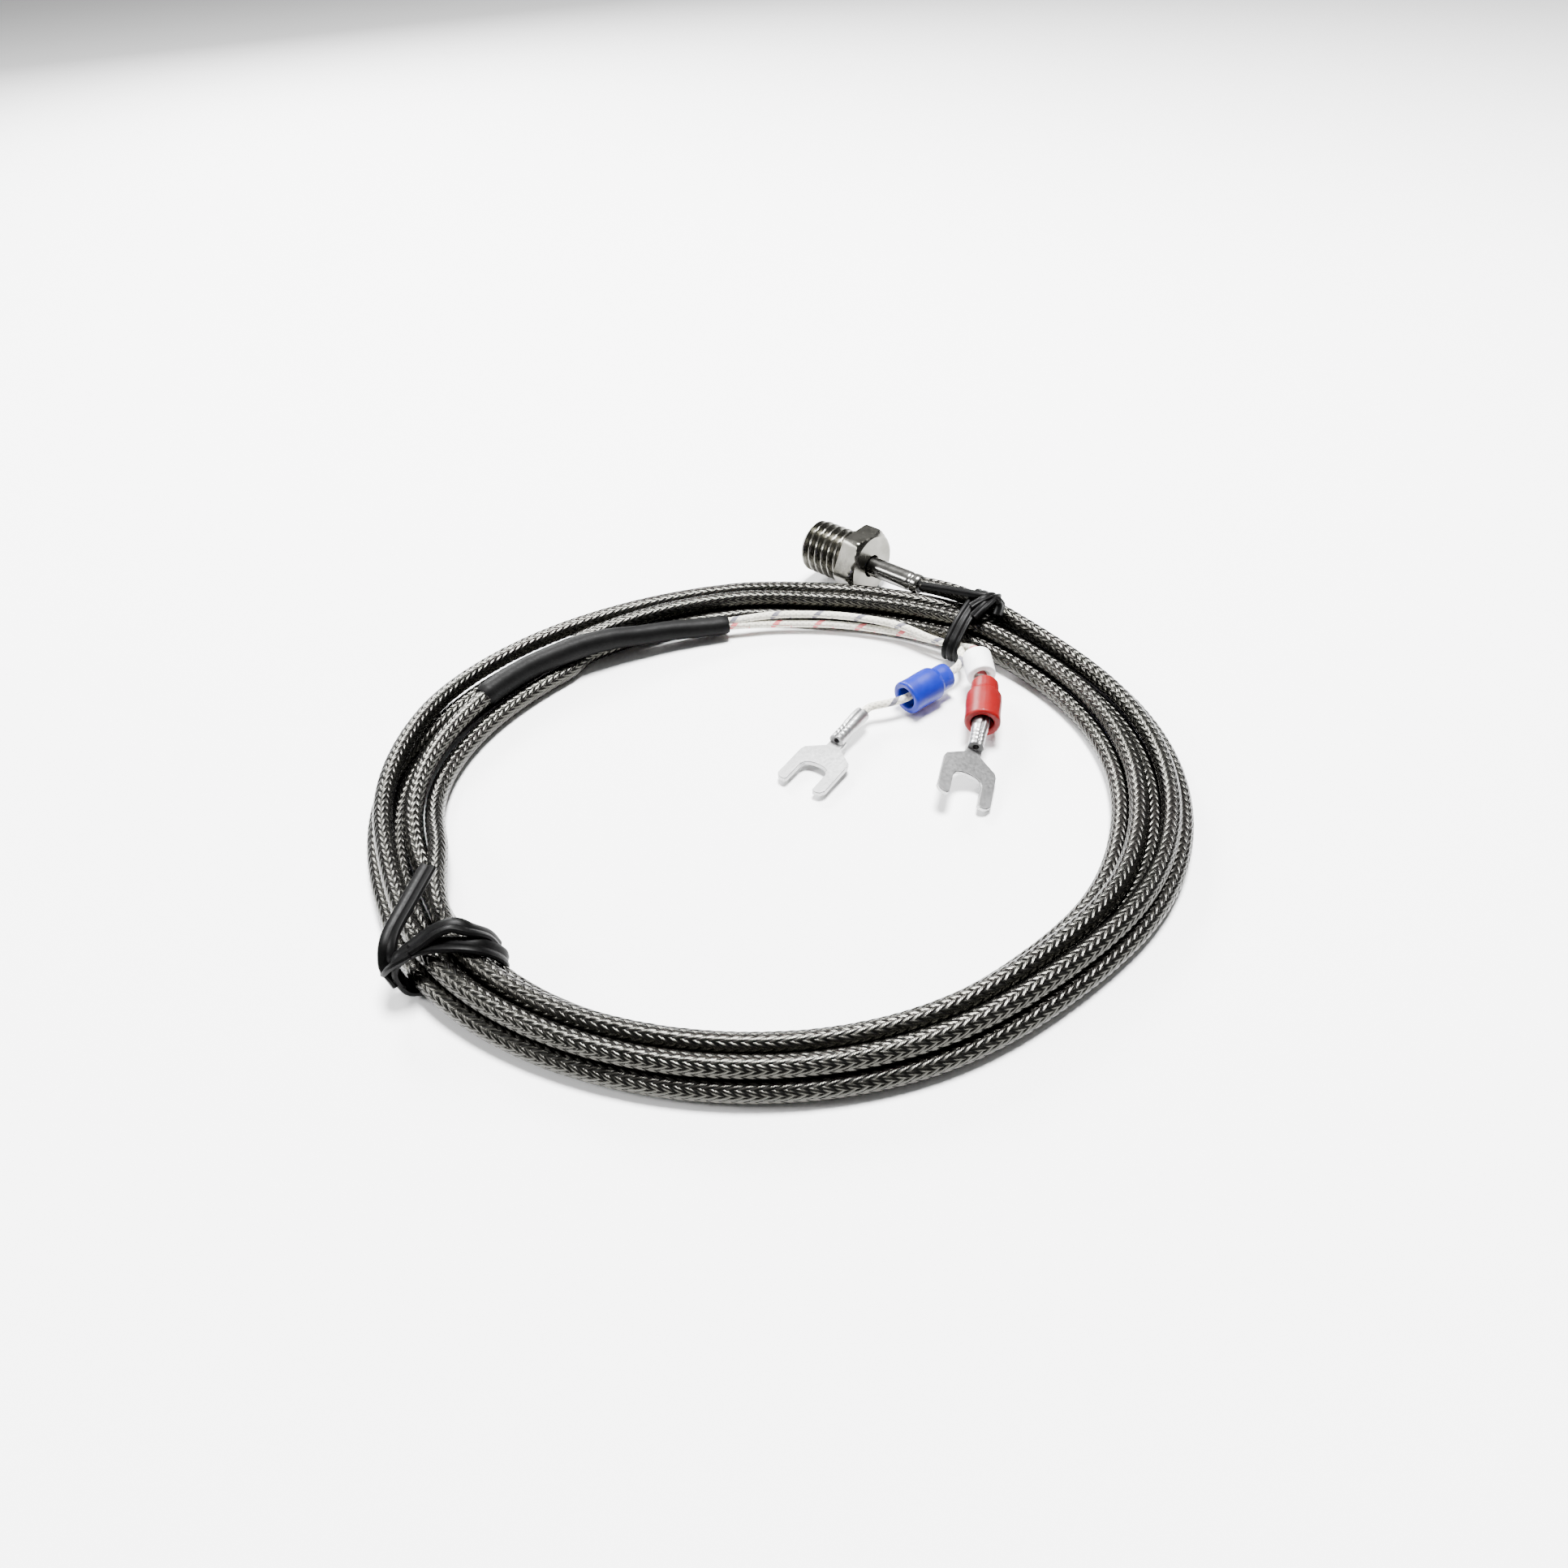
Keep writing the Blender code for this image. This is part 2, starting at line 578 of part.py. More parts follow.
def make_fork(name, barrel_start, direction, roll):
    """Fork terminal: flat tongue with two prongs and a crimped barrel behind it."""
    where = frame_at(barrel_start, direction, roll)
    profile = [(BARREL_FRONT_RADIUS, BARREL_LENGTH), (BARREL_FRONT_RADIUS, BARREL_REAR_LENGTH + 0.5),
               (BARREL_REAR_RADIUS, BARREL_REAR_LENGTH), (BARREL_REAR_RADIUS, 0.0),
               (BARREL_REAR_BORE, 0.0), (BARREL_REAR_BORE, BARREL_REAR_LENGTH),
               (BARREL_FRONT_BORE, BARREL_REAR_LENGTH + 0.5), (BARREL_FRONT_BORE, BARREL_LENGTH)]
    fork = turned(name, profile, 16, "tin", where, closed=True)
    half = fork_outline()
    outline = half + [(-x, y) for x, y in reversed(half)]
    data = bpy.data.curves.new(name + "_tongue", "CURVE")
    data.dimensions = "2D"
    data.fill_mode = "BOTH"
    data.extrude = FORK_THICKNESS / 2 * MM
    spline = data.splines.new("POLY")
    spline.points.add(len(outline) - 1)
    for control, (x, y) in zip(spline.points, outline):
        control.co = (x * MM, y * MM, 0.0, 1.0)
    spline.use_cyclic_u = True
    flat = add(name + "_tongue", data, None, None, CUTTERS)
    lay_flat = Matrix(((1.0, 0.0, 0.0, 0.0), (0.0, 0.0, -1.0, 0.0), (0.0, 1.0, 0.0, 0.0),
                       (0.0, 0.0, 0.0, 1.0)))
    flat.matrix_world = (where @ Matrix.Translation((0.0, -FORK_DROP * MM, BARREL_LENGTH * MM))
                         @ lay_flat)
    combine(fork, curve_to_mesh(flat), "UNION")
    inner = turned(name + "_bore", solid(BARREL_FRONT_BORE, 1.0, BARREL_LENGTH - 0.9), 16, None,
                   where, group=CUTTERS)
    combine(fork, inner, "DIFFERENCE")


def make_leads():
    rod_curve("lead_positive", smooth_points(POSITIVE_ROUTE, 3.2), LEAD_RADIUS, "glass_fibre")
    rod_curve("lead_negative", smooth_points(NEGATIVE_ROUTE, 3.2), LEAD_RADIUS, "glass_fibre")
    for side, where in (("positive", frame_at(POSITIVE_BARREL, POSITIVE_DIRECTION)),
                        ("negative", frame_at(NEGATIVE_BARREL, NEGATIVE_DIRECTION))):
        turned("conductor_" + side, solid(CONDUCTOR_RADIUS, BARREL_REAR_LENGTH + 0.7,
                                          BARREL_LENGTH - 1.2), 8, "alloy", where)
    along = Vector(SLEEVE_END) - Vector(SLEEVE_START)
    turned("marker_sleeve", hollow(SLEEVE_RADIUS, SLEEVE_BORE, 0.0, along.length), 20,
           "white_sleeve", frame_at(SLEEVE_START, tuple(along)), closed=True)


def main():
    make_bolt()
    make_tube()
    make_junction()
    make_heat_shrink()
    make_leads()
    make_boot("red_boot", RED_BOOT_TAIL, RED_BOOT_DIRECTION, "red_boot")
    make_boot("blue_boot", BLUE_BOOT_TAIL, BLUE_BOOT_DIRECTION, "blue_boot")
    make_fork("fork_positive", POSITIVE_BARREL, POSITIVE_DIRECTION, POSITIVE_ROLL)
    make_fork("fork_negative", NEGATIVE_BARREL, NEGATIVE_DIRECTION, 0.0)
    rod_curve("cable_lead_in", smooth_points(LEAD_IN_ROUTE, 3.0), CABLE_DIAMETER / 2, "braid")
    make_tie("coil_tie_right", TIE_RIGHT_TURN, (-9.2, 6.6, 0.3, 7.2), (-1.0, 0.0, 7.7),
             (3.4, 2.6, 2.2), (36.4, 40.9, 7.0), (28.8, 47.0, 7.4))
    make_tie("coil_tie_left", TIE_LEFT_TURN, (-6.7, 6.7, 0.3, 7.2), (4.4, 0.0, 7.6),
             (3.4, 3.0, 2.2), (-46.0, -30.6, 7.0), (-47.6, -16.0, 7.0))
    make_ring()


main()
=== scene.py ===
"""Looks of a bolt thermocouple: a braided cable wound into an oval ring, a probe bolt, two leads."""

import math

import bmesh
import bpy
import numpy as np
from mathutils import Matrix, Vector


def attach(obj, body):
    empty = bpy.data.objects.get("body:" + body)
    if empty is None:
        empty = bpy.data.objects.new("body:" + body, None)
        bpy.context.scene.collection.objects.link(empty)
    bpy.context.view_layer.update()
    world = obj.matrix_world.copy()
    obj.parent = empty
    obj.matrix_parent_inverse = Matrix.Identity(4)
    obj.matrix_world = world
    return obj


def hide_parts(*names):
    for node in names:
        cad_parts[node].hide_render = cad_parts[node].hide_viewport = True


MM = 0.001
PROBE_MIDDLE = (18.6, 60.8)
TAU = 2.0 * math.pi

# oval ring, measured from its own middle in millimetres
RING_CENTRE = (0.2, 4.0)
RING_HALF_WIDTH = 56.3
RING_HALF_DEPTH = 49.0
CABLE = 3.1
CABLE_R = CABLE / 2.0
LOW = CABLE_R
HIGH = 4.235
STEP = 2.0
PER_TURN = int(360 / STEP)
FIRST_TURN = 62.0
LAST_TURN = -1648.0

# settling of the winding: pulls per step, strong at first and gentle in the last steps
SETTLE_STEPS = 700
SETTLE_GENTLY_FROM = 560
LANE_PULL, GENTLE_LANE_PULL = 0.03, 0.004
STRAIGHTENING, GENTLE_STRAIGHTENING = 0.30, 0.10
STRAND_PUSH = 0.7
OBSTACLE_PUSH = 0.8
WANDER = 0.22
WANDER_SPACING = 24.0
PROBE_RUN_FROM = 40.0

# stretches of the ring, in degrees, that lie beside other pieces
BESIDE_LEADS = (47.0, 96.0)
BESIDE_BOLT = (64.0, 84.0)
HEX_EDGE = (2.75, 6.0)
HEX_LEAN = (0.866, 0.5)

# where the ring is drawn in: place in degrees, spread in degrees, and amount
DRAWN_IN = [(308.0, 18.0, 1.5), (199.0, 16.0, 1.6)]

# probe, measured from the back of the hexagon towards the tip
PROBE_BACK = (20.4, 59.0, 6.0)
PROBE_ANGLE = 137.0
HEX_FLAT = 6.0
HEX_HEIGHT = 4.0
HEX_EASED_CORNER = 6.84
SOCKET_R = 4.0
THREAD_LENGTH = 10.0
THREAD_PITCH = 1.5
THREAD_CREST = 4.95
THREAD_ROOT = 4.08
COLLAR_R = 4.9
BOLT_BORE = 2.1
COUNTERBORE_R = 3.2
COUNTERBORE_DEPTH = 2.5
TUBE_R = 1.8
TUBE_BORE = 1.55
TUBE_BACK = -11.3
TUBE_TIP = 13.8
FLANGE_R = 2.8
FLANGE_FROM = 11.8
FLANGE_TO = 12.6
GROOVE_R = 1.72

LEAD_R = 0.66
FORK_THICKNESS = 0.8
FORK_DROP = 0.95
BARREL_LENGTH = 7.8
BOOT_LENGTH = 9.6
SLEEVE_R = 2.4
SLEEVE_BORE = 1.3
SHRINK_R = 2.0
TRACER_PITCH = 7.8

# braid: floats of parallel wires in columns that lean by turns left and right
COLUMNS = 12
FLOAT_PITCH = 1.43
FLOAT_ADVANCE = 1.39
CORE_R = 1.36
FLOAT_R = 1.37
FLOAT_RISE = 0.09
WIRES = 6
FLOAT_ROWS = 4
FLOAT_ACROSS = 5
FLOAT_BAND = 0.86 * FLOAT_PITCH
FLOAT_OVERLAP = 1.06
FLOAT_HALF_ARC = 0.56 * TAU / COLUMNS
FLOAT_CROWN = 0.04
FLOAT_EDGE_DROP = 0.045
FLOAT_SINK = 0.03
FLOAT_SHIFT = 0.02
FLOAT_UNEVEN = 0.008
BRAID_PIECES = 8
BRAID_START = 1.0
BRAID_END = 0.2

TIE_RIGHT_TURN = 50.0
TIE_LEFT_TURN = -138.3
TIE_THICKNESS = 0.9
TIE_LIFT = 0.95
TIE_REACH = 5.0

# sizes of the slow changes of tone in the materials
METAL_PATCH = 5.0
PLASTIC_PATCH = 3.0


# ---- places

def metres(points):
    """Points measured from the ring's middle in millimetres, as points in the frame in metres."""
    points = np.asarray(points, float)
    return (points - np.array([PROBE_MIDDLE[0], PROBE_MIDDLE[1], 0.0])) * MM


def ring_points(turn, offset, height):
    """Points beside the ring's oval centre line: offset outward and height above the table."""
    angle = np.radians(np.asarray(turn, float))
    normal = np.stack([np.cos(angle) / RING_HALF_WIDTH, np.sin(angle) / RING_HALF_DEPTH], -1)
    normal /= np.linalg.norm(normal, axis=-1, keepdims=True)
    middle = np.stack([RING_CENTRE[0] + RING_HALF_WIDTH * np.cos(angle),
                       RING_CENTRE[1] + RING_HALF_DEPTH * np.sin(angle)], -1)
    flat = middle + normal * np.asarray(offset, float)[..., None]
    return np.concatenate([flat, np.broadcast_to(height, flat.shape[:-1])[..., None]], -1)


def smooth_line(route, spacing):
    """Points about one spacing apart on the smooth curve through the route."""
    route = np.asarray(route, float)
    knots = np.vstack([2 * route[0] - route[1], route, 2 * route[-1] - route[-2]])
    points = []
    for a, b, c, d in zip(knots, knots[1:], knots[2:], knots[3:]):
        steps = max(1, int(round(np.linalg.norm(c - b) / spacing)))
        t = (np.arange(steps) / steps)[:, None]
        points.append(0.5 * (2 * b + (c - a) * t + (2 * a - 5 * b + 4 * c - d) * t ** 2
                             + (3 * b - a - 3 * c + d) * t ** 3))
    points.append(route[-1:])
    return np.vstack(points)


def line_length(points):
    """Length of a line, in the units of its points."""
    return float(np.linalg.norm(np.diff(points, axis=0), axis=1).sum())


def frames(points):
    """Unit tangent and two steady cross directions at each point of a line."""
    tangent = np.gradient(points, axis=0)
    tangent /= np.linalg.norm(tangent, axis=1, keepdims=True)
    side = np.cross(tangent[0], (0.0, 0.0, 1.0))
    side /= np.linalg.norm(side)
    sides = []
    for direction in tangent:
        side = side - direction * side.dot(direction)
        side = side / np.linalg.norm(side)
        sides.append(side)
    sides = np.array(sides)
    return tangent, sides, np.cross(tangent, sides)


def matrix_at(point, direction, roll=0.0):
    """Matrix with local Z along direction, local X level when roll is 0, and its place at point."""
    along = Vector(direction).normalized()
    level = Vector((0.0, 0.0, 1.0)).cross(along).normalized()
    upward = along.cross(level)
    angle = math.radians(roll)
    across = level * math.cos(angle) + upward * math.sin(angle)
    turned = Matrix((across, along.cross(across), along)).transposed().to_4x4()
    return Matrix.Translation(Vector(metres(point))) @ turned


PROBE_DIRECTION = (math.cos(math.radians(PROBE_ANGLE)), math.sin(math.radians(PROBE_ANGLE)), 0.0)
PROBE_FRAME = matrix_at(PROBE_BACK, PROBE_DIRECTION)


# ---- mesh helpers

def mesh_object(name, vertices, faces, material=None, uvs=None, sharp=40.0):
    """A smooth-shaded object from vertices in metres, faces, and optional UVs, one per vertex."""
    vertices = np.asarray(vertices, np.float32)
    data = bpy.data.meshes.new(name)
    if isinstance(faces, np.ndarray):
        count, corners = faces.shape
        data.vertices.add(len(vertices))
        data.vertices.foreach_set("co", vertices.ravel())
        data.loops.add(count * corners)
        data.loops.foreach_set("vertex_index", faces.ravel().astype(np.int32))
        data.polygons.add(count)
        data.polygons.foreach_set("loop_start", np.arange(0, count * corners, corners, dtype=np.int32))
        data.update(calc_edges=True)
    else:
        data.from_pydata(vertices.tolist(), [], faces)
    if uvs is not None:
        layer = data.uv_layers.new(name="surface")
        index = np.empty(len(data.loops), np.int32)
        data.loops.foreach_get("vertex_index", index)
        layer.data.foreach_set("uv", np.asarray(uvs, np.float32)[index].ravel())
    data.validate()
    data.shade_smooth()
    if sharp:
        data.set_sharp_from_angle(angle=math.radians(sharp))
    made = bpy.data.objects.new(name, data)
    bpy.context.scene.collection.objects.link(made)
    if material is not None:
        data.materials.append(material)
    return made


def grid_faces(rows, columns, closed=True):
    """Quads between neighbouring rows of a grid; closed joins the last column to the first."""
    span = columns if closed else columns - 1
    row, column = np.meshgrid(np.arange(rows - 1), np.arange(span), indexing="ij")
    after = (column + 1) % columns
    quads = np.stack([row * columns + column, row * columns + after,
                      (row + 1) * columns + after, (row + 1) * columns + column], -1)
    return quads.reshape(-1, 4)


def tube(name, points, radii, material, columns=20, shape=None):
    """A tube along points (millimetres) with capped ends; UV is (turn, distance in millimetres)."""
    points = np.asarray(points, float)
    radii = np.broadcast_to(radii, len(points)).astype(float)
    _, side, up = frames(points)
    travel = np.concatenate([[0.0], np.cumsum(np.linalg.norm(np.diff(points, axis=0), axis=1))])
    angle = np.linspace(0.0, TAU, columns + 1)
    reach = radii[:, None] * np.ones(columns + 1)
    if shape is not None:
        reach = reach * shape(travel[:, None], angle[None, :])
    ring = (points[:, None, :] + reach[..., None] * (np.cos(angle)[None, :, None] * side[:, None, :]
            + np.sin(angle)[None, :, None] * up[:, None, :]))
    vertices = ring[:, :columns, :].reshape(-1, 3)
    u = np.broadcast_to(angle[:columns] / TAU, (len(points), columns))
    v = np.broadcast_to(travel[:, None], (len(points), columns))
    uvs = np.stack([u, v], -1).reshape(-1, 2)
    faces = [tuple(quad) for quad in grid_faces(len(points), columns)[:, ::-1].tolist()]
    last = (len(points) - 1) * columns
    faces.append(tuple(range(columns)))
    faces.append(tuple(range(last + columns - 1, last - 1, -1)))
    return mesh_object(name, metres(vertices), faces, material, uvs)


def placed_rings(name, vertices, rows, columns, where, material):
    """A ring-shaped mesh from rows of vertices, the last row joined to the first."""
    last = (rows - 1) * columns
    column = np.arange(columns)
    after = (column + 1) % columns
    seam = np.stack([last + column, last + after, after, column], -1)
    quads = np.vstack([grid_faces(rows, columns), seam])
    placed = np.array([(where @ Vector(v * MM))[:] for v in vertices])
    made = mesh_object(name, placed, [tuple(q) for q in quads.tolist()], material)
    outward(made)
    return made


def lathe(name, profile, where, material, columns=64, reach=None):
    """A turned shape from a closed profile of (radius, height) pairs, in millimetres.

    reach(radius, angle, height), where given, varies the radius.
    """
    profile = np.asarray(profile, float)
    angle = np.arange(columns) / columns * TAU
    radius = np.repeat(profile[:, :1], columns, 1)
    height = np.repeat(profile[:, 1:], columns, 1)
    turn = np.repeat(angle[None, :], len(profile), 0)
    if reach is not None:
        radius = reach(radius, turn, height)
    vertices = np.stack([radius * np.cos(turn), radius * np.sin(turn), height], -1).reshape(-1, 3)
    return placed_rings(name, vertices, len(profile), columns, where, material)


def outward(made):
    """Turns every face of a closed mesh to point out."""
    work = bmesh.new()
    work.from_mesh(made.data)
    bmesh.ops.recalc_face_normals(work, faces=work.faces)
    work.to_mesh(made.data)
    work.free()


def rounded(profile, radius, steps=3):
    """A closed profile with each corner cut to a short arc."""
    points = [np.array(p, float) for p in profile]
    out = []
    count = len(points)
    for i, corner in enumerate(points):
        before = points[i - 1] - corner
        after = points[(i + 1) % count] - corner
        reach = min(radius, 0.45 * np.linalg.norm(before), 0.45 * np.linalg.norm(after))
        a = corner + before / np.linalg.norm(before) * reach
        b = corner + after / np.linalg.norm(after) * reach
        for step in range(steps + 1):
            t = step / steps
            out.append((1 - t) ** 2 * a + 2 * t * (1 - t) * corner + t * t * b)
    return out


# ---- materials

def node(tree, kind, links=None, **settings):
    made = tree.nodes.new("ShaderNode" + kind)
    for key, value in settings.items():
        setattr(made, key, value)
    for key, value in (links or {}).items():
        socket = made.inputs[key]
        if isinstance(value, bpy.types.NodeSocket):
            tree.links.new(value, socket)
        else:
            socket.default_value = value
    return made


def math_node(tree, operation, first, second=0.0):
    return node(tree, "Math", {0: first, 1: second}, operation=operation).outputs[0]


def ramp(tree, factor, stops):
    """Colour ramp from (position, colour) stops."""
    made = node(tree, "ValToRGB", {"Fac": factor})
    elements = made.color_ramp.elements
    while len(elements) < len(stops):
        elements.new(0.5)
    for element, (position, colour) in zip(elements, stops):
        element.position = position
        element.color = (*colour, 1.0)
    return made.outputs["Color"]


def mixed(tree, factor, first, second):
    made = node(tree, "Mix", data_type="RGBA")
    for key, value in (("Factor", factor), ("A", first), ("B", second)):
        sockets = [s for s in made.inputs if s.name == key and s.enabled]
        socket = sockets[0]
        if isinstance(value, bpy.types.NodeSocket):
            tree.links.new(value, socket)
        else:
            socket.default_value = (*value, 1.0) if isinstance(value, tuple) else value
    return [s for s in made.outputs if s.enabled][0]


def grey(value):
    return (value, value, value)


def surface(name, metallic=0.0, **constants):
    """A new material: its tree, shader and object coordinates in metres."""
    made = bpy.data.materials.new(name)
    made.use_nodes = True
    tree = made.node_tree
    shader = tree.nodes["Principled BSDF"]
    shader.inputs["Metallic"].default_value = metallic
    for key, value in constants.items():
        shader.inputs[key.replace("_", " ")].default_value = value
    coordinates = tree.nodes.new("ShaderNodeTexCoord").outputs["Object"]
    return made, tree, shader, coordinates


def noise(tree, coordinates, size, detail=4.0, roughness=0.55):
    """Noise whose features are about size millimetres across."""
    return node(tree, "TexNoise", {"Vector": coordinates, "Scale": 1000.0 / size, "Detail": detail,
                                   "Roughness": roughness}).outputs["Fac"]


def bump(tree, shader, height, depth):
    """Relief of depth millimetres where height goes from 0 to 1."""
    made = node(tree, "Bump", {"Height": height, "Distance": depth * MM, "Strength": 1.0})
    tree.links.new(made.outputs[0], shader.inputs["Normal"])


def metal(name, dark, light, roughness, grain=0.6, depth=0.004, rough_span=0.12):
    """Bare metal with handling marks: colour, roughness and height vary together."""
    made, tree, shader, where = surface(name, 1.0)
    patches = noise(tree, where, METAL_PATCH)
    tree.links.new(ramp(tree, patches, [(0.35, dark), (0.65, light)]), shader.inputs["Base Color"])
    fine = noise(tree, where, grain, 6.0, 0.65)
    span = node(tree, "MapRange", {"Value": fine, "From Min": 0.3, "From Max": 0.7,
                                   "To Min": roughness - rough_span,
                                   "To Max": roughness + rough_span}).outputs[0]
    tree.links.new(span, shader.inputs["Roughness"])
    bump(tree, shader, fine, depth)
    return made


def plastic(name, dark, light, roughness, grain=0.35, depth=0.012, **constants):
    """Moulded or extruded plastic: a fine matt grain over slow changes of tone."""
    made, tree, shader, where = surface(name, 0.0, **constants)
    patches = noise(tree, where, PLASTIC_PATCH, 5.0)
    tree.links.new(ramp(tree, patches, [(0.3, dark), (0.7, light)]), shader.inputs["Base Color"])
    fine = noise(tree, where, grain, 5.0, 0.6)
    span = node(tree, "MapRange", {"Value": fine, "From Min": 0.3, "From Max": 0.7,
                                   "To Min": roughness - 0.06, "To Max": roughness + 0.08}).outputs[0]
    tree.links.new(span, shader.inputs["Roughness"])
    bump(tree, shader, fine, depth)
    return made


def braid_wire(name):
    """Wires of one float: rounded parallel ridges along it, each float with its own tone, and painted
    shade that darkens the grooves between the wires.
    """
    made, tree, shader, where = surface(name, 1.0)
    uv = node(tree, "UVMap", uv_map="surface").outputs[0]
    parts = node(tree, "SeparateXYZ", {0: uv})
    across = math_node(tree, "MULTIPLY", parts.outputs[0], float(WIRES))
    ridge = math_node(tree, "ABSOLUTE", math_node(tree, "SINE", math_node(tree, "MULTIPLY", across,
                                                                        math.pi)))
    own = node(tree, "TexWhiteNoise", {"W": math_node(tree, "FLOOR", parts.outputs[1])},
               noise_dimensions="1D").outputs["Value"]
    wire = node(tree, "TexWhiteNoise", {"W": math_node(tree, "ADD", math_node(tree, "FLOOR", across),
                math_node(tree, "MULTIPLY", math_node(tree, "FLOOR", parts.outputs[1]), 17.0))},
                noise_dimensions="1D").outputs["Value"]
    tone = math_node(tree, "ADD", math_node(tree, "MULTIPLY", own, 0.5),
                     math_node(tree, "MULTIPLY", wire, 0.5))
    body = ramp(tree, tone, [(0.1, (0.042, 0.041, 0.035)), (0.9, (0.08, 0.078, 0.069))])
    # painted shade: the grooves between the wires are darkened towards near-black
    painted_groove_shade = math_node(tree, "MULTIPLY", math_node(tree, "SUBTRACT", 1.0, ridge), 0.8)
    tarnish = noise(tree, where, 9.0, 3.0)
    stained = mixed(tree, math_node(tree, "MULTIPLY", tarnish, 0.25), body, (0.045, 0.043, 0.036))
    tree.links.new(mixed(tree, painted_groove_shade, stained, grey(0.02)), shader.inputs["Base Color"])
    span = node(tree, "MapRange", {"Value": wire, "To Min": 0.18, "To Max": 0.26}).outputs[0]
    tree.links.new(span, shader.inputs["Roughness"])
    bump(tree, shader, ridge, 0.007)
    return made


def glass_yarn(name, tracer):
    """Woven cream glass yarn with painted shade between the yarns, and a coloured tracer that winds along
    the lead.
    """
    made, tree, shader, where = surface(name, 0.0, Sheen_Weight=0.15)
    uv = node(tree, "UVMap", uv_map="surface").outputs[0]
    parts = node(tree, "SeparateXYZ", {0: uv})
    turn, travel = parts.outputs[0], parts.outputs[1]

    def stripes(count, pitch):
        steps = math_node(tree, "ADD", math_node(tree, "MULTIPLY", turn, count),
                          math_node(tree, "DIVIDE", travel, pitch))
        return math_node(tree, "FRACT", steps)

    right = math_node(tree, "SINE", math_node(tree, "MULTIPLY", stripes(5.0, 1.1), math.pi))
    left = math_node(tree, "SINE", math_node(tree, "MULTIPLY", stripes(-5.0, 1.1), math.pi))
    weave = math_node(tree, "MAXIMUM", right, left)
    soft = noise(tree, where, 1.3)
    cream = ramp(tree, soft, [(0.3, (0.50, 0.48, 0.40)), (0.7, (0.68, 0.66, 0.58))])
    # painted shade: the gaps between the crossing yarns are darkened towards brown-grey
    shaded = mixed(tree, math_node(tree, "MULTIPLY", math_node(tree, "SUBTRACT", 1.0, weave), 0.8),
                   cream, (0.16, 0.15, 0.12))
    band = math_node(tree, "MULTIPLY",
                     math_node(tree, "LESS_THAN", stripes(1.0, TRACER_PITCH / 2), 0.28),
                     math_node(tree, "LESS_THAN", stripes(0.0, TRACER_PITCH), 0.5))
    tree.links.new(mixed(tree, math_node(tree, "MULTIPLY", band, 0.85), shaded, tracer),
                   shader.inputs["Base Color"])
    shader.inputs["Roughness"].default_value = 0.75
    bump(tree, shader, weave, 0.06)
    return made


NICKEL = metal("nickel_plate", (0.09, 0.088, 0.075), (0.16, 0.155, 0.138), 0.24,
               depth=0.0008, rough_span=0.04)
STAINLESS = metal("stainless_tube", (0.22, 0.216, 0.20), (0.30, 0.295, 0.28), 0.18,
                  depth=0.0006, rough_span=0.04)
TIN = metal("tinned_terminal", grey(0.34), grey(0.43), 0.38, grain=0.5, depth=0.003,
            rough_span=0.06)
ALLOY = metal("thermo_alloy", (0.42, 0.40, 0.36), (0.58, 0.55, 0.50), 0.38)
# painted shadow: the cable core is near-black so the gaps between the braid floats read as shade
SHADOW_CORE = metal("braid_shadow", grey(0.008), grey(0.02), 0.6)
BRAID = braid_wire("braid_wire")
SHRINK = plastic("black_shrink", grey(0.0012), grey(0.0025), 0.5, depth=0.006,
                 Specular_IOR_Level=0.06)
TIE = plastic("black_tie", grey(0.001), grey(0.002), 0.40, depth=0.006, Specular_IOR_Level=0.06)
RED = plastic("red_vinyl", (0.12, 0.0003, 0.001), (0.16, 0.0006, 0.0015), 0.40,
              Specular_IOR_Level=0.2)
BLUE = plastic("blue_vinyl", (0.0004, 0.005, 0.17), (0.0006, 0.009, 0.23), 0.40,
               Specular_IOR_Level=0.2)
WHITE = plastic("white_sleeve", grey(0.78), grey(0.90), 0.50)
CEMENT = plastic("cement", (0.55, 0.52, 0.45), (0.76, 0.73, 0.66), 0.85, grain=0.2, depth=0.05)
FIBRE = plastic("glass_insulator", (0.62, 0.60, 0.54), (0.84, 0.82, 0.76), 0.75)
YARN_RED = glass_yarn("yarn_red_tracer", (0.42, 0.006, 0.03))
YARN_BLUE = glass_yarn("yarn_blue_tracer", (0.012, 0.012, 0.05))

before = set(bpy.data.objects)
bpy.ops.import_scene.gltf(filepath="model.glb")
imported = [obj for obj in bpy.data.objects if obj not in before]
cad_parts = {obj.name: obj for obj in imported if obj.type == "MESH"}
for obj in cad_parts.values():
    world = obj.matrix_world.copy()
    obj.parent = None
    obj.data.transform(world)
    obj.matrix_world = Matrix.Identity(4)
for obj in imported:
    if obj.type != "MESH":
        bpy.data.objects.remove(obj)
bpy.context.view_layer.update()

NODE_LOOKS = {
    "tip_plug": STAINLESS, "cable_end_in_tube": SHADOW_CORE, "junction_bead": ALLOY,
    "junction_cement": CEMENT, "insulator_positive": FIBRE, "insulator_negative": FIBRE,
    "thermo_wire_positive": ALLOY, "thermo_wire_negative": ALLOY,
    "conductor_positive": ALLOY, "conductor_negative": ALLOY,
}
for name, look in NODE_LOOKS.items():
    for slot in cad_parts[name].material_slots:
        slot.material = look


# ---- camera

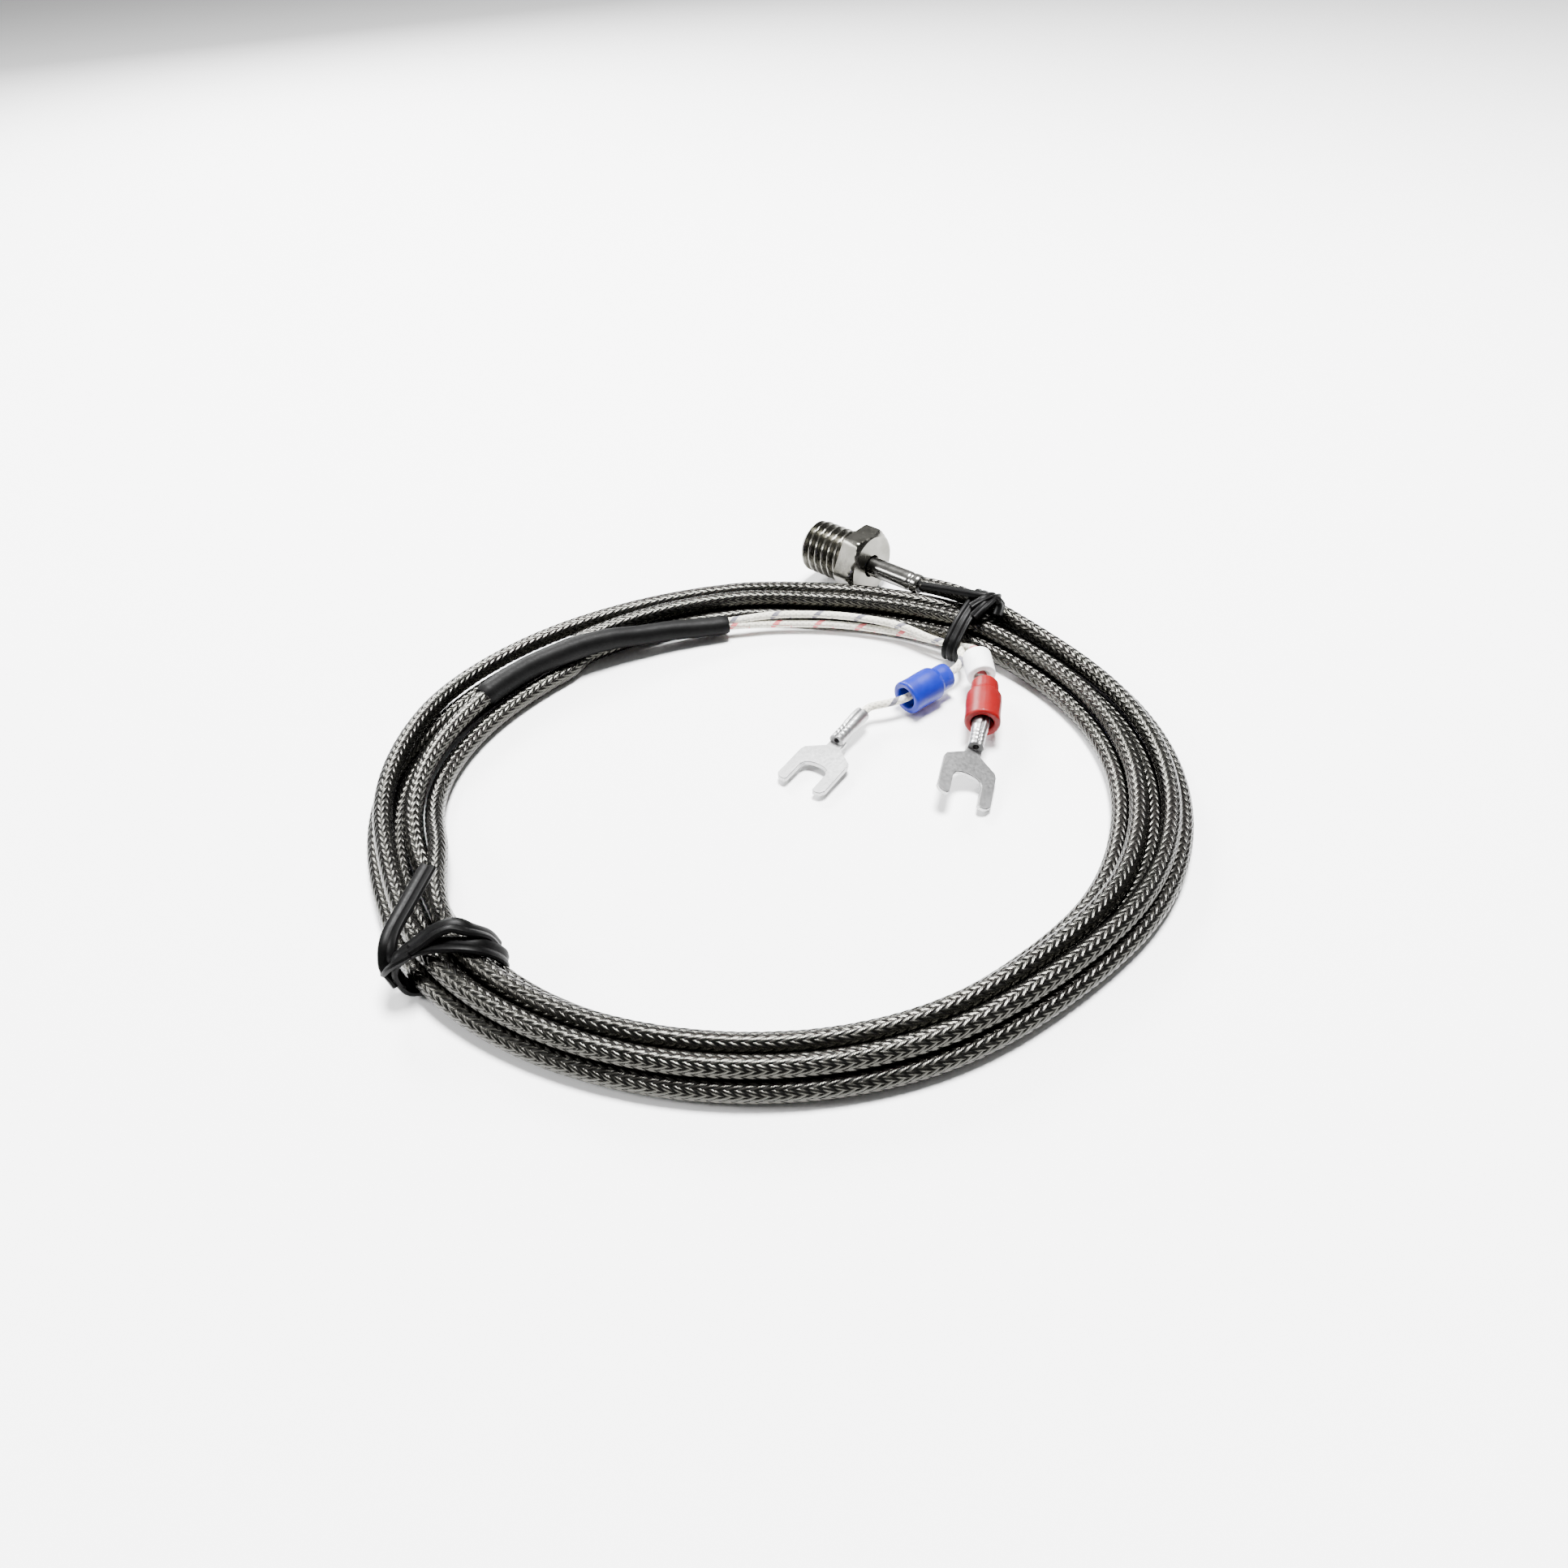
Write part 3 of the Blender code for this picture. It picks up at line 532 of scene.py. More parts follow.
TILT = math.radians(42.0)
ROLL = math.radians(3.19)
CAMERA_PLACE = (1.52, -119.28, 112.44)
camera_data = bpy.data.cameras.new("camera")
camera_data.lens = 24.753
camera_data.sensor_width = 36.0
camera_data.clip_start = 0.005
camera = bpy.data.objects.new("camera", camera_data)
bpy.context.scene.collection.objects.link(camera)
forward = Vector((0.0, math.cos(TILT), -math.sin(TILT)))
level = Vector((1.0, 0.0, 0.0))
above = Vector((0.0, math.sin(TILT), math.cos(TILT)))
right = level * math.cos(ROLL) - above * math.sin(ROLL)
upright = level * math.sin(ROLL) + above * math.cos(ROLL)
camera.matrix_world = (Matrix.Translation(Vector(metres(CAMERA_PLACE)))
                       @ Matrix((right, upright, -forward)).transposed().to_4x4())
bpy.context.scene.camera = camera


# ---- routes

def waypoint_line(waypoints, turn):
    """Offset and height between waypoints (turn, offset, height), eased at each."""
    waypoints = np.array(sorted(waypoints), float)
    place = np.searchsorted(waypoints[:, 0], turn).clip(1, len(waypoints) - 1)
    low, high = waypoints[place - 1], waypoints[place]
    t = ((turn - low[:, 0]) / (high[:, 0] - low[:, 0])).clip(0.0, 1.0)
    t = t * t * (3 - 2 * t)
    return low[:, 1:] + (high[:, 1:] - low[:, 1:]) * t[:, None]


# Each pass of the cable round the ring: turn in degrees, which counts down, offset outward from
# the oval, and height. The passes follow each other 360 degrees apart.
PASSES = [
    [(34, 2.2, 3.73), (-20, 2.2, 3.73), (-45, 3.1, HIGH), (-165, 3.1, HIGH), (-190, 3.6, 3.9),
     (-215, 4.6, 3.2), (-262, 4.6, 3.1), (-276, 2.6, 4.0), (-300, 2.0, HIGH), (-308, 3.4, 3.4)],
    [(36, 4.4, LOW), (-20, 4.4, LOW), (-45, 4.65, LOW), (-170, 4.65, LOW), (-195, 4.4, LOW),
     (-215, 2.6, LOW), (-232, 2.1, LOW), (-262, 2.1, LOW), (-276, 0.7, LOW), (-304, 0.45, LOW)],
    [(34, 0.0, LOW), (-20, 0.0, LOW), (-45, 1.55, LOW), (-168, 1.55, LOW), (-190, 0.9, LOW),
     (-226, 0.5, LOW), (-236, 0.3, 3.2), (-246, 0.5, 4.0), (-262, 0.5, 4.0), (-276, -0.8, HIGH),
     (-304, -1.05, HIGH)],
    [(32, -2.2, 3.73), (-20, -2.2, 3.73), (-45, 0.0, HIGH), (-130, 0.0, HIGH), (-148, -0.9, 3.95),
     (-164, -2.7, 3.0), (-177, -3.6, 1.9), (-188, -3.8, LOW), (-202, -4.4, LOW), (-216, -4.8, LOW),
     (-230, -4.4, LOW), (-245, -3.4, LOW), (-262, -2.4, LOW), (-276, -2.6, LOW),
     (-306, -2.9, LOW), (-314, -3.3, LOW)],
    [(30, -4.4, LOW), (-20, -4.4, LOW), (-45, -1.55, LOW), (-135, -1.55, LOW), (-152, -1.2, 1.9),
     (-168, -0.8, 3.3), (-186, -1.0, HIGH), (-208, -1.8, 4.7)],
]
LEAD_IN = [(62, 4.44, 6.0), (58, 3.8, 6.2), (54, 3.4, 6.2), (50, 3.1, 5.8), (45, 2.8, 5.0),
           (39, 2.4, 4.1)]
SHRINK_WAYPOINTS = [(152, -1.8, 4.7), (141, -2.3, 4.8), (131, -3.2, 4.8), (122, -4.2, 4.4),
                    (114, -4.9, 3.5), (105, -5.1, 2.6), (93, -4.9, 2.1)]
POSITIVE_START = [(98.0, -5.1, 2.1), (88.0, -5.1, 1.6), (76.0, -5.1, 1.6), (64.0, -5.3, 1.7),
                  (55.0, -5.7, 2.0), (49.0, -6.0, 2.6)]
NEGATIVE_START = [(98.0, -4.7, 2.8), (88.0, -4.4, 3.1), (76.0, -4.5, 3.2), (64.0, -5.3, 3.3),
                  (55.0, -6.9, 3.1), (49.0, -7.3, 3.3)]


def turns_between(around, place):
    """Degrees between two places on the ring, the short way."""
    return np.abs((around - place + 180.0) % 360.0 - 180.0)


def lift_at_ties(around):
    """Height that the bands of the ties, which pass underneath, add to the strands."""
    lift = np.zeros(len(around))
    for tie in (TIE_RIGHT_TURN, TIE_LEFT_TURN % 360.0):
        lift = np.maximum(lift, TIE_LIFT * np.exp(-(turns_between(around, tie) / TIE_REACH) ** 4))
    return lift


def looseness(turn):
    """Slow wander of the strands beside their lanes, none of it on the run to the probe."""
    rng = np.random.default_rng(7)
    knots = np.arange(-2100, 120, WANDER_SPACING)
    wander = np.interp(turn[::-1], knots, rng.normal(0, WANDER, len(knots)))[::-1]
    return np.stack([wander, np.zeros(len(turn))], 1) * (turn < PROBE_RUN_FROM)[:, None]


def push_apart(line):
    """Shoves that move strands of neighbouring turns apart where they sink into each other."""
    count = len(line)
    push = np.zeros_like(line)
    for turns in range(1, len(PASSES)):
        gap = PER_TURN * turns
        apart = line[gap:] - line[:count - gap]
        distance = np.linalg.norm(apart, axis=1, keepdims=True)
        short = np.clip(CABLE - distance, 0.0, None)
        shove = apart / np.maximum(distance, 1e-6) * short * 0.5
        push[gap:] += shove
        push[:count - gap] -= shove
    return push


def between(around, span):
    return (around > span[0]) & (around < span[1])


def wind_cable():
    """Settles the passes against each other, the table, the sleeve and leads, and the bolt."""
    turn = np.arange(FIRST_TURN, LAST_TURN - 0.5 * STEP, -STEP)
    waypoints = [(t, u, z) for t, u, z in LEAD_IN]
    for number, line in enumerate(PASSES):
        waypoints += [(t - 360.0 * number, u, z) for t, u, z in line]
    around = (turn + 360.0 * 10) % 360.0
    rest = lift_at_ties(around)
    target = waypoint_line(waypoints, turn) + looseness(turn)
    target[:, 1] += rest
    sleeve_span = (SHRINK_WAYPOINTS[-1][0] - 1, SHRINK_WAYPOINTS[0][0] + 1)
    near_sleeve = between(around, sleeve_span) & (turn > LAST_TURN + 30.0)
    near_leads = between(around, BESIDE_LEADS)
    beside_bolt = between(around, BESIDE_BOLT) & (turn < TIE_RIGHT_TURN)
    obstacles = [(near_sleeve, waypoint_line(SHRINK_WAYPOINTS, around), SHRINK_R + CABLE_R)]
    for start in (POSITIVE_START, NEGATIVE_START):
        obstacles.append((near_leads, waypoint_line(start, around), LEAD_R + CABLE_R))
    line = target.copy()
    for step in range(SETTLE_STEPS):
        late = step > SETTLE_GENTLY_FROM
        line += (GENTLE_LANE_PULL if late else LANE_PULL) * (target - line)
        bend = np.zeros_like(line)
        bend[1:-1] = line[:-2] + line[2:] - 2 * line[1:-1]
        line += (GENTLE_STRAIGHTENING if late else STRAIGHTENING) * bend
        line += STRAND_PUSH * push_apart(line)
        for where, centre, reach in obstacles:
            apart = line - centre
            distance = np.linalg.norm(apart, axis=1, keepdims=True)
            short = np.clip(reach - distance, 0.0, None) * where[:, None]
            line += OBSTACLE_PUSH * apart / np.maximum(distance, 1e-6) * short
        # the hexagon's lower flank, which leans out over the bundle
        flank = HEX_LEAN[0] * (HEX_EDGE[0] - line[:, 0]) + HEX_LEAN[1] * (HEX_EDGE[1] - line[:, 1])
        line[:, 0] -= np.where(beside_bolt, np.clip(CABLE_R - flank, 0.0, None), 0.0)
        line[:, 1] = np.maximum(line[:, 1], LOW + rest)
    slack = sum(amount * np.exp(-(((around - place) / spread) ** 2))
                for place, spread, amount in DRAWN_IN)
    return ring_points(turn, line[:, 0] - slack, line[:, 1])


wound = wind_cable()
CABLE_EXIT = np.array(PROBE_BACK) + np.array(PROBE_DIRECTION) * TUBE_BACK
shrink_turns = np.arange(SHRINK_WAYPOINTS[0][0], SHRINK_WAYPOINTS[-1][0] - 0.1, -1.0)
shrink_lane = waypoint_line(SHRINK_WAYPOINTS, shrink_turns)
shrink_line = smooth_line(ring_points(shrink_turns, shrink_lane[:, 0], shrink_lane[:, 1])[::6], 0.8)
cable_line = smooth_line(np.vstack([CABLE_EXIT[None, :], wound[:-1], shrink_line[4:12:4]]), 0.6)


def lead_route(start, rest):
    """Route of a lead: beside the ring at first, then by points across the inside of it."""
    start = np.array(start)
    return np.vstack([ring_points(start[:, 0], start[:, 1], start[:, 2]), np.array(rest)])


POSITIVE_LINE = smooth_line(lead_route(POSITIVE_START, [
    (35.2, 33.4, 4.0), (35.5, 31.2, 5.0), (35.2, 29.1, 5.5), (35.1, 26.2, 5.2),
    (35.5, 23.5, 4.74), (34.95, 20.0, 4.5), (34.35, 17.2, 4.2), (33.82, 14.9, 4.05),
    (33.37, 13.5, 3.97), (32.95, 12.1, 3.9)]), 0.6)
NEGATIVE_LINE = smooth_line(lead_route(NEGATIVE_START, [
    (33.3, 33.0, 3.5), (33.1, 31.0, 3.4), (32.0, 29.2, 3.2), (29.8, 27.4, 3.0),
    (26.0, 24.5, 3.0), (22.2, 21.7, 3.0), (18.9, 20.7, 2.9), (16.4, 20.2, 2.8),
    (14.9, 18.8, 2.6), (14.0, 17.6, 2.5), (13.2, 16.5, 2.42)]), 0.6)


# ---- cable and braid

def braid_pieces(line):
    """Raised floats over the core, split into several objects along the cable."""
    travel = np.concatenate([[0.0], np.cumsum(np.linalg.norm(np.diff(line, axis=0), axis=1))])
    _, side, up = frames(line)
    a, c = np.meshgrid(np.linspace(0.0, 1.0, FLOAT_ROWS), np.linspace(0.0, 1.0, FLOAT_ACROSS),
                       indexing="ij")
    hump = np.sin(math.pi * (0.08 + 0.84 * a)) * FLOAT_RISE
    crown = FLOAT_CROWN * (1.0 - (2.0 * c - 1.0) ** 2)
    edge = np.where((c < 0.01) | (c > 0.99), -FLOAT_EDGE_DROP, 0.0)
    faces_one = grid_faces(FLOAT_ROWS, FLOAT_ACROSS, closed=False)
    per_column = int((travel[-1] - 2.0 * BRAID_START) / FLOAT_PITCH)
    cuts = np.linspace(0, per_column, BRAID_PIECES + 1).astype(int)
    rng = np.random.default_rng(11)
    made = []
    for piece, (first, last) in enumerate(zip(cuts, cuts[1:])):
        number, column = np.meshgrid(np.arange(first, last), np.arange(COLUMNS), indexing="ij")
        number = number.ravel()
        column = column.ravel()
        count = len(number)
        lean = np.where(column % 2 == 0, 1.0, -1.0)
        middle = BRAID_START + number * FLOAT_PITCH + (column % 2) * 0.5 * FLOAT_PITCH
        middle = middle + rng.normal(0.0, FLOAT_SHIFT, count)
        turn = column * TAU / COLUMNS + rng.normal(0.0, FLOAT_UNEVEN, count)
        rise = rng.normal(0.0, FLOAT_UNEVEN, count)
        s = (middle[:, None, None] + (a - 0.5) * FLOAT_ADVANCE * FLOAT_OVERLAP
             + (c - 0.5) * FLOAT_BAND)
        angle = turn[:, None, None] + lean[:, None, None] * (a - 0.5) * 2.0 * FLOAT_HALF_ARC
        radius = FLOAT_R - FLOAT_SINK + hump + crown + edge + rise[:, None, None]
        s = s.clip(BRAID_END, travel[-1] - BRAID_END)
        flat = s.ravel()
        centre = np.stack([np.interp(flat, travel, line[:, i]) for i in range(3)], 1)
        x = np.stack([np.interp(flat, travel, side[:, i]) for i in range(3)], 1)
        y = np.stack([np.interp(flat, travel, up[:, i]) for i in range(3)], 1)
        reach = radius.ravel()[:, None]
        turned = angle.ravel()[:, None]
        points = centre + reach * (np.cos(turned) * x + np.sin(turned) * y)
        base = (np.arange(count) * FLOAT_ROWS * FLOAT_ACROSS)[:, None, None]
        faces = faces_one[None] + base
        faces = np.where((lean < 0)[:, None, None], faces[:, :, ::-1], faces).reshape(-1, 4)
        ident = (number * COLUMNS + column)[:, None, None] + 0.02 + 0.96 * a
        uvs = np.stack([np.broadcast_to(c, s.shape).ravel(), ident.ravel()], 1)
        made.append(mesh_object(f"cable_braid_{piece + 1}", metres(points), faces, BRAID, uvs,
                                sharp=None))
    return made


cable = tube("cable_core", cable_line, CORE_R, SHADOW_CORE, columns=14)
braid = braid_pieces(cable_line)
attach(cable, "cable_body")
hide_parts("cable_coil", "cable_lead_in", "cable_end_in_sleeve")
for piece in braid:
    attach(piece, "cable_body")


# ---- heat-shrink sleeve and leads

def shrink_shape(travel, angle):
    """Rolled lips at both ends, tight over the cable, flatter where only the leads are inside."""
    total = line_length(shrink_line)
    lip = 1.0 - 0.22 * np.exp(-(travel / 0.5) ** 2) - 0.15 * np.exp(-((total - travel) / 0.5) ** 2)
    slim = 1.0 - 0.10 / (1.0 + np.exp(-(travel - 26.0) / 1.5))
    pinch = 1.0 + 0.08 * np.cos(2 * angle) / (1.0 + np.exp(-(travel - total + 8.0) / 2.0))
    ripple = 1.0 + 0.012 * np.sin(travel * 1.9 + 2.0 * np.sin(angle)) * np.sin(3 * angle + travel * 0.35)
    return lip * slim * pinch * ripple


shrink = tube("heat_shrink_skin", shrink_line, SHRINK_R, SHRINK, columns=40, shape=shrink_shape)
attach(shrink, "cable_body")
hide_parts("heat_shrink")

lead_positive = tube("lead_positive_yarn", POSITIVE_LINE, LEAD_R, YARN_RED, columns=18)
lead_negative = tube("lead_negative_yarn", NEGATIVE_LINE, LEAD_R, YARN_BLUE, columns=18)
for lead, side in ((lead_positive, "positive"), (lead_negative, "negative")):
    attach(lead, "cable_body")
    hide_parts("lead_" + side)


# ---- bolt and tube

def hex_reach(radius, angle, _height):
    """Cuts a round profile to the hexagon, with eased corners, where its radius is larger."""
    folded = (angle + math.pi / 6) % (math.pi / 3) - math.pi / 6
    flat = np.minimum(HEX_FLAT / np.cos(math.pi / 6 - np.abs(folded)), HEX_EASED_CORNER)
    return np.minimum(radius, flat)


def make_hexagon():
    """Head with a chamfered back, and a socket that the inner end of the thread sits in."""
    profile = [(BOLT_BORE + 0.05, 0.0), (5.2, 0.0), (5.65, 0.02), (6.0, 0.2), (6.35, 0.42), (6.65, 0.62),
               (7.2, 0.95), (7.2, HEX_HEIGHT - 0.12), (6.72, HEX_HEIGHT),
               (SOCKET_R, HEX_HEIGHT), (SOCKET_R, 1.0), (BOLT_BORE + 0.05, 1.0)]
    made = lathe("bolt_hexagon", profile, PROBE_FRAME, NICKEL, columns=144, reach=hex_reach)
    made.data.set_sharp_from_angle(angle=math.radians(22.0))
    return made


def make_thread():
    """Helical thread with a collar under the head, and a bore that widens for the flange."""
    columns = 72
    rows = int(THREAD_LENGTH / THREAD_PITCH * 14)
    height = np.linspace(0.0, THREAD_LENGTH, rows + 1)
    angle = np.arange(columns) / columns
    z, x = np.meshgrid(height, angle, indexing="ij")
    phase = (z / THREAD_PITCH - x) % 1.0
    flank = np.clip((np.abs(phase - 0.5) - 0.07) / 0.34, 0.0, 1.0)
    radius = THREAD_CREST - (THREAD_CREST - THREAD_ROOT) * (1.0 - flank) ** 0.9
    radius = np.minimum(radius, THREAD_ROOT - 0.1 + (THREAD_LENGTH - z) * 1.1)
    collar = np.clip(1.0 - (z - 0.35) / 0.5, 0.0, 1.0)
    radius = radius + (COLLAR_R - radius) * collar
    points = np.stack([radius * np.cos(TAU * x), radius * np.sin(TAU * x), HEX_HEIGHT + z], -1)
    tip = HEX_HEIGHT + THREAD_LENGTH
    bore = [(3.6, tip), (COUNTERBORE_R, tip - 0.1), (COUNTERBORE_R, tip - COUNTERBORE_DEPTH),
            (BOLT_BORE, tip - COUNTERBORE_DEPTH), (BOLT_BORE, HEX_HEIGHT - 0.5),
            (SOCKET_R - 0.1, HEX_HEIGHT - 0.5)]
    inner = [np.stack([r * np.cos(TAU * angle), r * np.sin(TAU * angle), np.full(columns, h)], -1)
             for r, h in bore]
    rings = np.concatenate([points, np.array(inner)], 0)
    return placed_rings("bolt_thread", rings.reshape(-1, 3), len(rings), columns, PROBE_FRAME, NICKEL)


hexagon = make_hexagon()
thread = make_thread()
for part in (hexagon, thread):
    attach(part, "bolt")
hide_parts("probe_bolt")

# A flange turns in the counterbore of the bolt's tip, and a rolled groove grips the
# cable near the back end
tube_profile = rounded([(TUBE_R, TUBE_TIP), (TUBE_R, FLANGE_TO), (FLANGE_R, FLANGE_TO),
                        (FLANGE_R, FLANGE_FROM), (TUBE_R, FLANGE_FROM), (TUBE_R, -8.9),
                        (GROOVE_R, -9.2), (GROOVE_R, -9.6), (TUBE_R, -9.9),
                        (TUBE_R, TUBE_BACK + 0.5), (1.62, TUBE_BACK), (1.42, TUBE_BACK + 0.1),
                        (TUBE_BORE, TUBE_BACK + 0.8), (TUBE_BORE, TUBE_TIP)], 0.12)
probe_tube = lathe("probe_tube_skin", tube_profile, PROBE_FRAME, STAINLESS, columns=72)
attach(probe_tube, "cable_body")
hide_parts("probe_tube")


# ---- boots and white sleeve

def make_boot(name, tail, direction, look, body):
    """Soft boot with a narrow tail and a moulding line down both sides."""
    profile = rounded([(2.62, BOOT_LENGTH), (2.85, BOOT_LENGTH - 0.3), (2.78, 7.4), (2.86, 5.0),
                       (2.84, 3.35), (2.3, 2.72),
                       (2.2, 2.5), (2.25, 1.2), (2.2, 0.15), (1.7, 0.0), (1.0, 0.05), (1.0, 2.7),
                       (1.9, 3.6), (1.72, 9.1), (1.85, BOOT_LENGTH - 0.05)], 0.28, 4)

    def reach(radius, angle, height):
        squeeze = (1.0 + 0.02 * np.cos(2 * angle + 0.6) * (height / BOOT_LENGTH)
                   + 0.006 * np.sin(5 * angle))
        seam = 0.05 * np.exp(-((np.abs((angle % math.pi) - math.pi / 2)) / 0.04) ** 2)
        return radius * squeeze + seam * (radius > 2.1)

    boot = lathe(name, profile, matrix_at(tail, direction), look, columns=80, reach=reach)
    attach(boot, body)
    return boot


red_boot = make_boot("red_boot_skin", (35.42, 22.2, 4.62), (-0.211, -0.975, -0.07), RED,
                     "red_boot_body")
blue_boot = make_boot("blue_boot_skin", (29.95, 27.52, 3.0), (-0.795, -0.607, 0.0), BLUE,
                      "blue_boot_body")
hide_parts("red_boot")
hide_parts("blue_boot")

SLEEVE_START = np.array((35.1, 29.0, 5.5))
SLEEVE_END = np.array((35.2, 23.95, 4.85))
sleeve_length = float(np.linalg.norm(SLEEVE_END - SLEEVE_START))
sleeve_profile = rounded([(SLEEVE_R, sleeve_length), (SLEEVE_R + 0.05, sleeve_length * 0.5),
                          (SLEEVE_R - 0.05, 0.0), (SLEEVE_BORE, 0.0),
                          (SLEEVE_BORE, sleeve_length)], 0.3)
sleeve = lathe("marker_sleeve_skin", sleeve_profile, matrix_at(SLEEVE_START, SLEEVE_END - SLEEVE_START),
               WHITE, columns=48, reach=lambda r, a, h: r * (1 + 0.02 * np.sin(3 * a + h)))
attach(sleeve, "cable_body")
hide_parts("marker_sleeve")


# ---- fork terminals

def make_fork(name, node_name, barrel_start, direction, roll):
    """Flat fork with a neck, and a crimped barrel with a seam on top and three grooves."""
    where = matrix_at(barrel_start, direction, roll)
    work = bmesh.new()
    half = [(1.3, -1.2), (1.3, 0.9), (3.4, 2.4), (4.1, 2.9), (4.4, 3.7), (4.4, 10.1), (3.9, 10.8),
            (3.4, 11.0), (2.65, 11.0), (2.35, 10.6), (2.35, 6.9), (2.0, 6.1), (1.3, 5.7), (0.5, 5.55)]
    outline = half + [(-x, y) for x, y in reversed(half)]
    rows = []
    for level in (-FORK_THICKNESS / 2, FORK_THICKNESS / 2):
        rows.append([work.verts.new((x * MM, (-FORK_DROP + level) * MM, (BARREL_LENGTH + y) * MM))
                     for x, y in outline])
    work.faces.new(rows[0])
    work.faces.new(rows[1][::-1])
    count = len(outline)
    for i in range(count):
        j = (i + 1) % count
        work.faces.new((rows[0][i], rows[1][i], rows[1][j], rows[0][j]))
    bmesh.ops.recalc_face_normals(work, faces=work.faces)
    rims = [e for e in work.edges if len(e.link_faces) == 2
            and e.calc_face_angle(0.0) > math.radians(60.0)]
    bmesh.ops.bevel(work, geom=rims, offset=0.14 * MM, segments=2, affect="EDGES")
    for vertex in work.verts:
        vertex.co = where @ vertex.co
    data = bpy.data.meshes.new(name + "_tongue")
    work.to_mesh(data)
    work.free()
    data.shade_smooth()
    data.set_sharp_from_angle(angle=math.radians(35.0))
    data.materials.append(TIN)
    tongue = bpy.data.objects.new(name + "_tongue", data)
    bpy.context.scene.collection.objects.link(tongue)

    outer = [(1.2, z) for z in np.linspace(BARREL_LENGTH, 4.2, 25)]
    outer += [(1.3, z) for z in np.linspace(3.6, 0.2, 18)]
    profile = outer + [(1.24, 0.0), (0.86, 0.0), (0.86, 3.6), (0.5, 4.2), (0.5, 7.7)]

    def reach(radius, angle, height):
        skin = radius > 1.0
        seam = 0.36 * np.exp(-((angle - math.pi / 2) / 0.16) ** 2)
        grooves = sum(0.14 * np.exp(-((height - at) / 0.16) ** 2) for at in (5.0, 5.9, 6.8))
        ears = 0.06 * np.exp(-((height - 1.8) / 0.9) ** 4) * np.abs(np.sin(angle))
        belly = 0.05 * np.cos(2 * angle)
        return radius + skin * (belly + ears - seam - grooves * (0.6 + 0.4 * np.sin(angle)))

    barrel = lathe(name + "_barrel", profile, where, TIN, columns=64, reach=reach)
    for part in (tongue, barrel):
        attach(part, "cable_body")
    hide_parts(node_name)
    return tongue, barrel


fork_positive = make_fork("fork_plus", "fork_positive", (33.82, 14.9, 4.05), (-0.30, -0.954, -0.05), -23.0)
fork_negative = make_fork("fork_minus", "fork_negative", (14.9, 18.8, 2.6), (-0.6, -0.8, -0.04), 0.0)


# ---- twist ties

def ribbon(name, points, outer, closed, width):
    """Flat ribbon with two long ridges, swept along points; outer is its outward side at each."""
    section = [(-0.5, 0.1), (-0.42, 0.42), (-0.26, 0.5), (-0.1, 0.36), (0.0, 0.22), (0.1, 0.36),
               (0.26, 0.5), (0.42, 0.42), (0.5, 0.1), (0.44, -0.4), (0.0, -0.5), (-0.44, -0.4)]
    points = np.asarray(points, float)
    outer = np.asarray(outer, float)
    if closed:
        along = np.roll(points, -1, 0) - np.roll(points, 1, 0)
    else:
        along = np.gradient(points, axis=0)
    along /= np.linalg.norm(along, axis=1, keepdims=True)
    outer = outer - along * (outer * along).sum(1, keepdims=True)
    outer /= np.linalg.norm(outer, axis=1, keepdims=True)
    across = np.cross(along, outer)
    rings = [points + across * (x * width) + outer * (y * TIE_THICKNESS) for x, y in section]
    grid = np.stack(rings, 1)
    rows, columns = grid.shape[:2]
    faces = [tuple(q) for q in grid_faces(rows, columns).tolist()]
    if closed:
        last = (rows - 1) * columns
        faces += [(last + i, last + (i + 1) % columns, (i + 1) % columns, i) for i in range(columns)]
    else:
        faces.append(tuple(range(columns)))
        faces.append(tuple(range((rows - 1) * columns, rows * columns)))
    made = mesh_object(name, metres(grid.reshape(-1, 3)), faces, TIE)
    outward(made)
    return made


def beside_ring(turn, route):
    """Points from (offset outward, distance along the ring, height) beside one turn of the oval."""
    route = np.asarray(route, float)
    start, ahead = ring_points([turn, turn + 0.1], [0.0, 0.0], 0.0)
    outside = ring_points(turn, 1.0, 0.0) - start
    along = (ahead - start) / np.linalg.norm(ahead - start)
    return start + route[:, :1] * outside + route[:, 1:2] * along + route[:, 2:] * np.array((0, 0, 1.0))


def join(name, parts):
    """One object from several that share a material."""
    with bpy.context.temp_override(active_object=parts[0], selected_editable_objects=parts,
                                   object=parts[0]):
        bpy.ops.object.join()
    parts[0].name = name
    return parts[0]


def make_tie(name, node_name, turn, loops, strands, width):
    """Bands round the bundle, and the twisted ends of the same ribbon as further strands."""
    parts = []
    near = 40
    for number, loop in enumerate(loops):
        route = beside_ring(turn, loop)
        line = smooth_line(np.vstack([route[-2:], route, route[:2]]), 0.5)
        first = int(np.argmin(np.linalg.norm(line[:near] - route[0], axis=1)))
        last = len(line) - near + int(np.argmin(np.linalg.norm(line[-near:] - route[0], axis=1)))
        line = line[first:last]
        parts.append(ribbon(f"{name}_loop_{number}", line, line - line.mean(0), True, width))
    for number, route in enumerate(strands):
        points = smooth_line(beside_ring(turn, route), 0.5)
        away = np.broadcast_to(np.array((0.05, 0.1, 1.0)), points.shape)
        parts.append(ribbon(f"{name}_strand_{number}", points, away, False, width))
    tie = join(name, parts)
    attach(tie, "cable_body")
    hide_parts(node_name)
    return tie


def shifted(loop, along):
    """The same loop, farther along the ring."""
    return [(u, w + along, z) for u, w, z in loop]


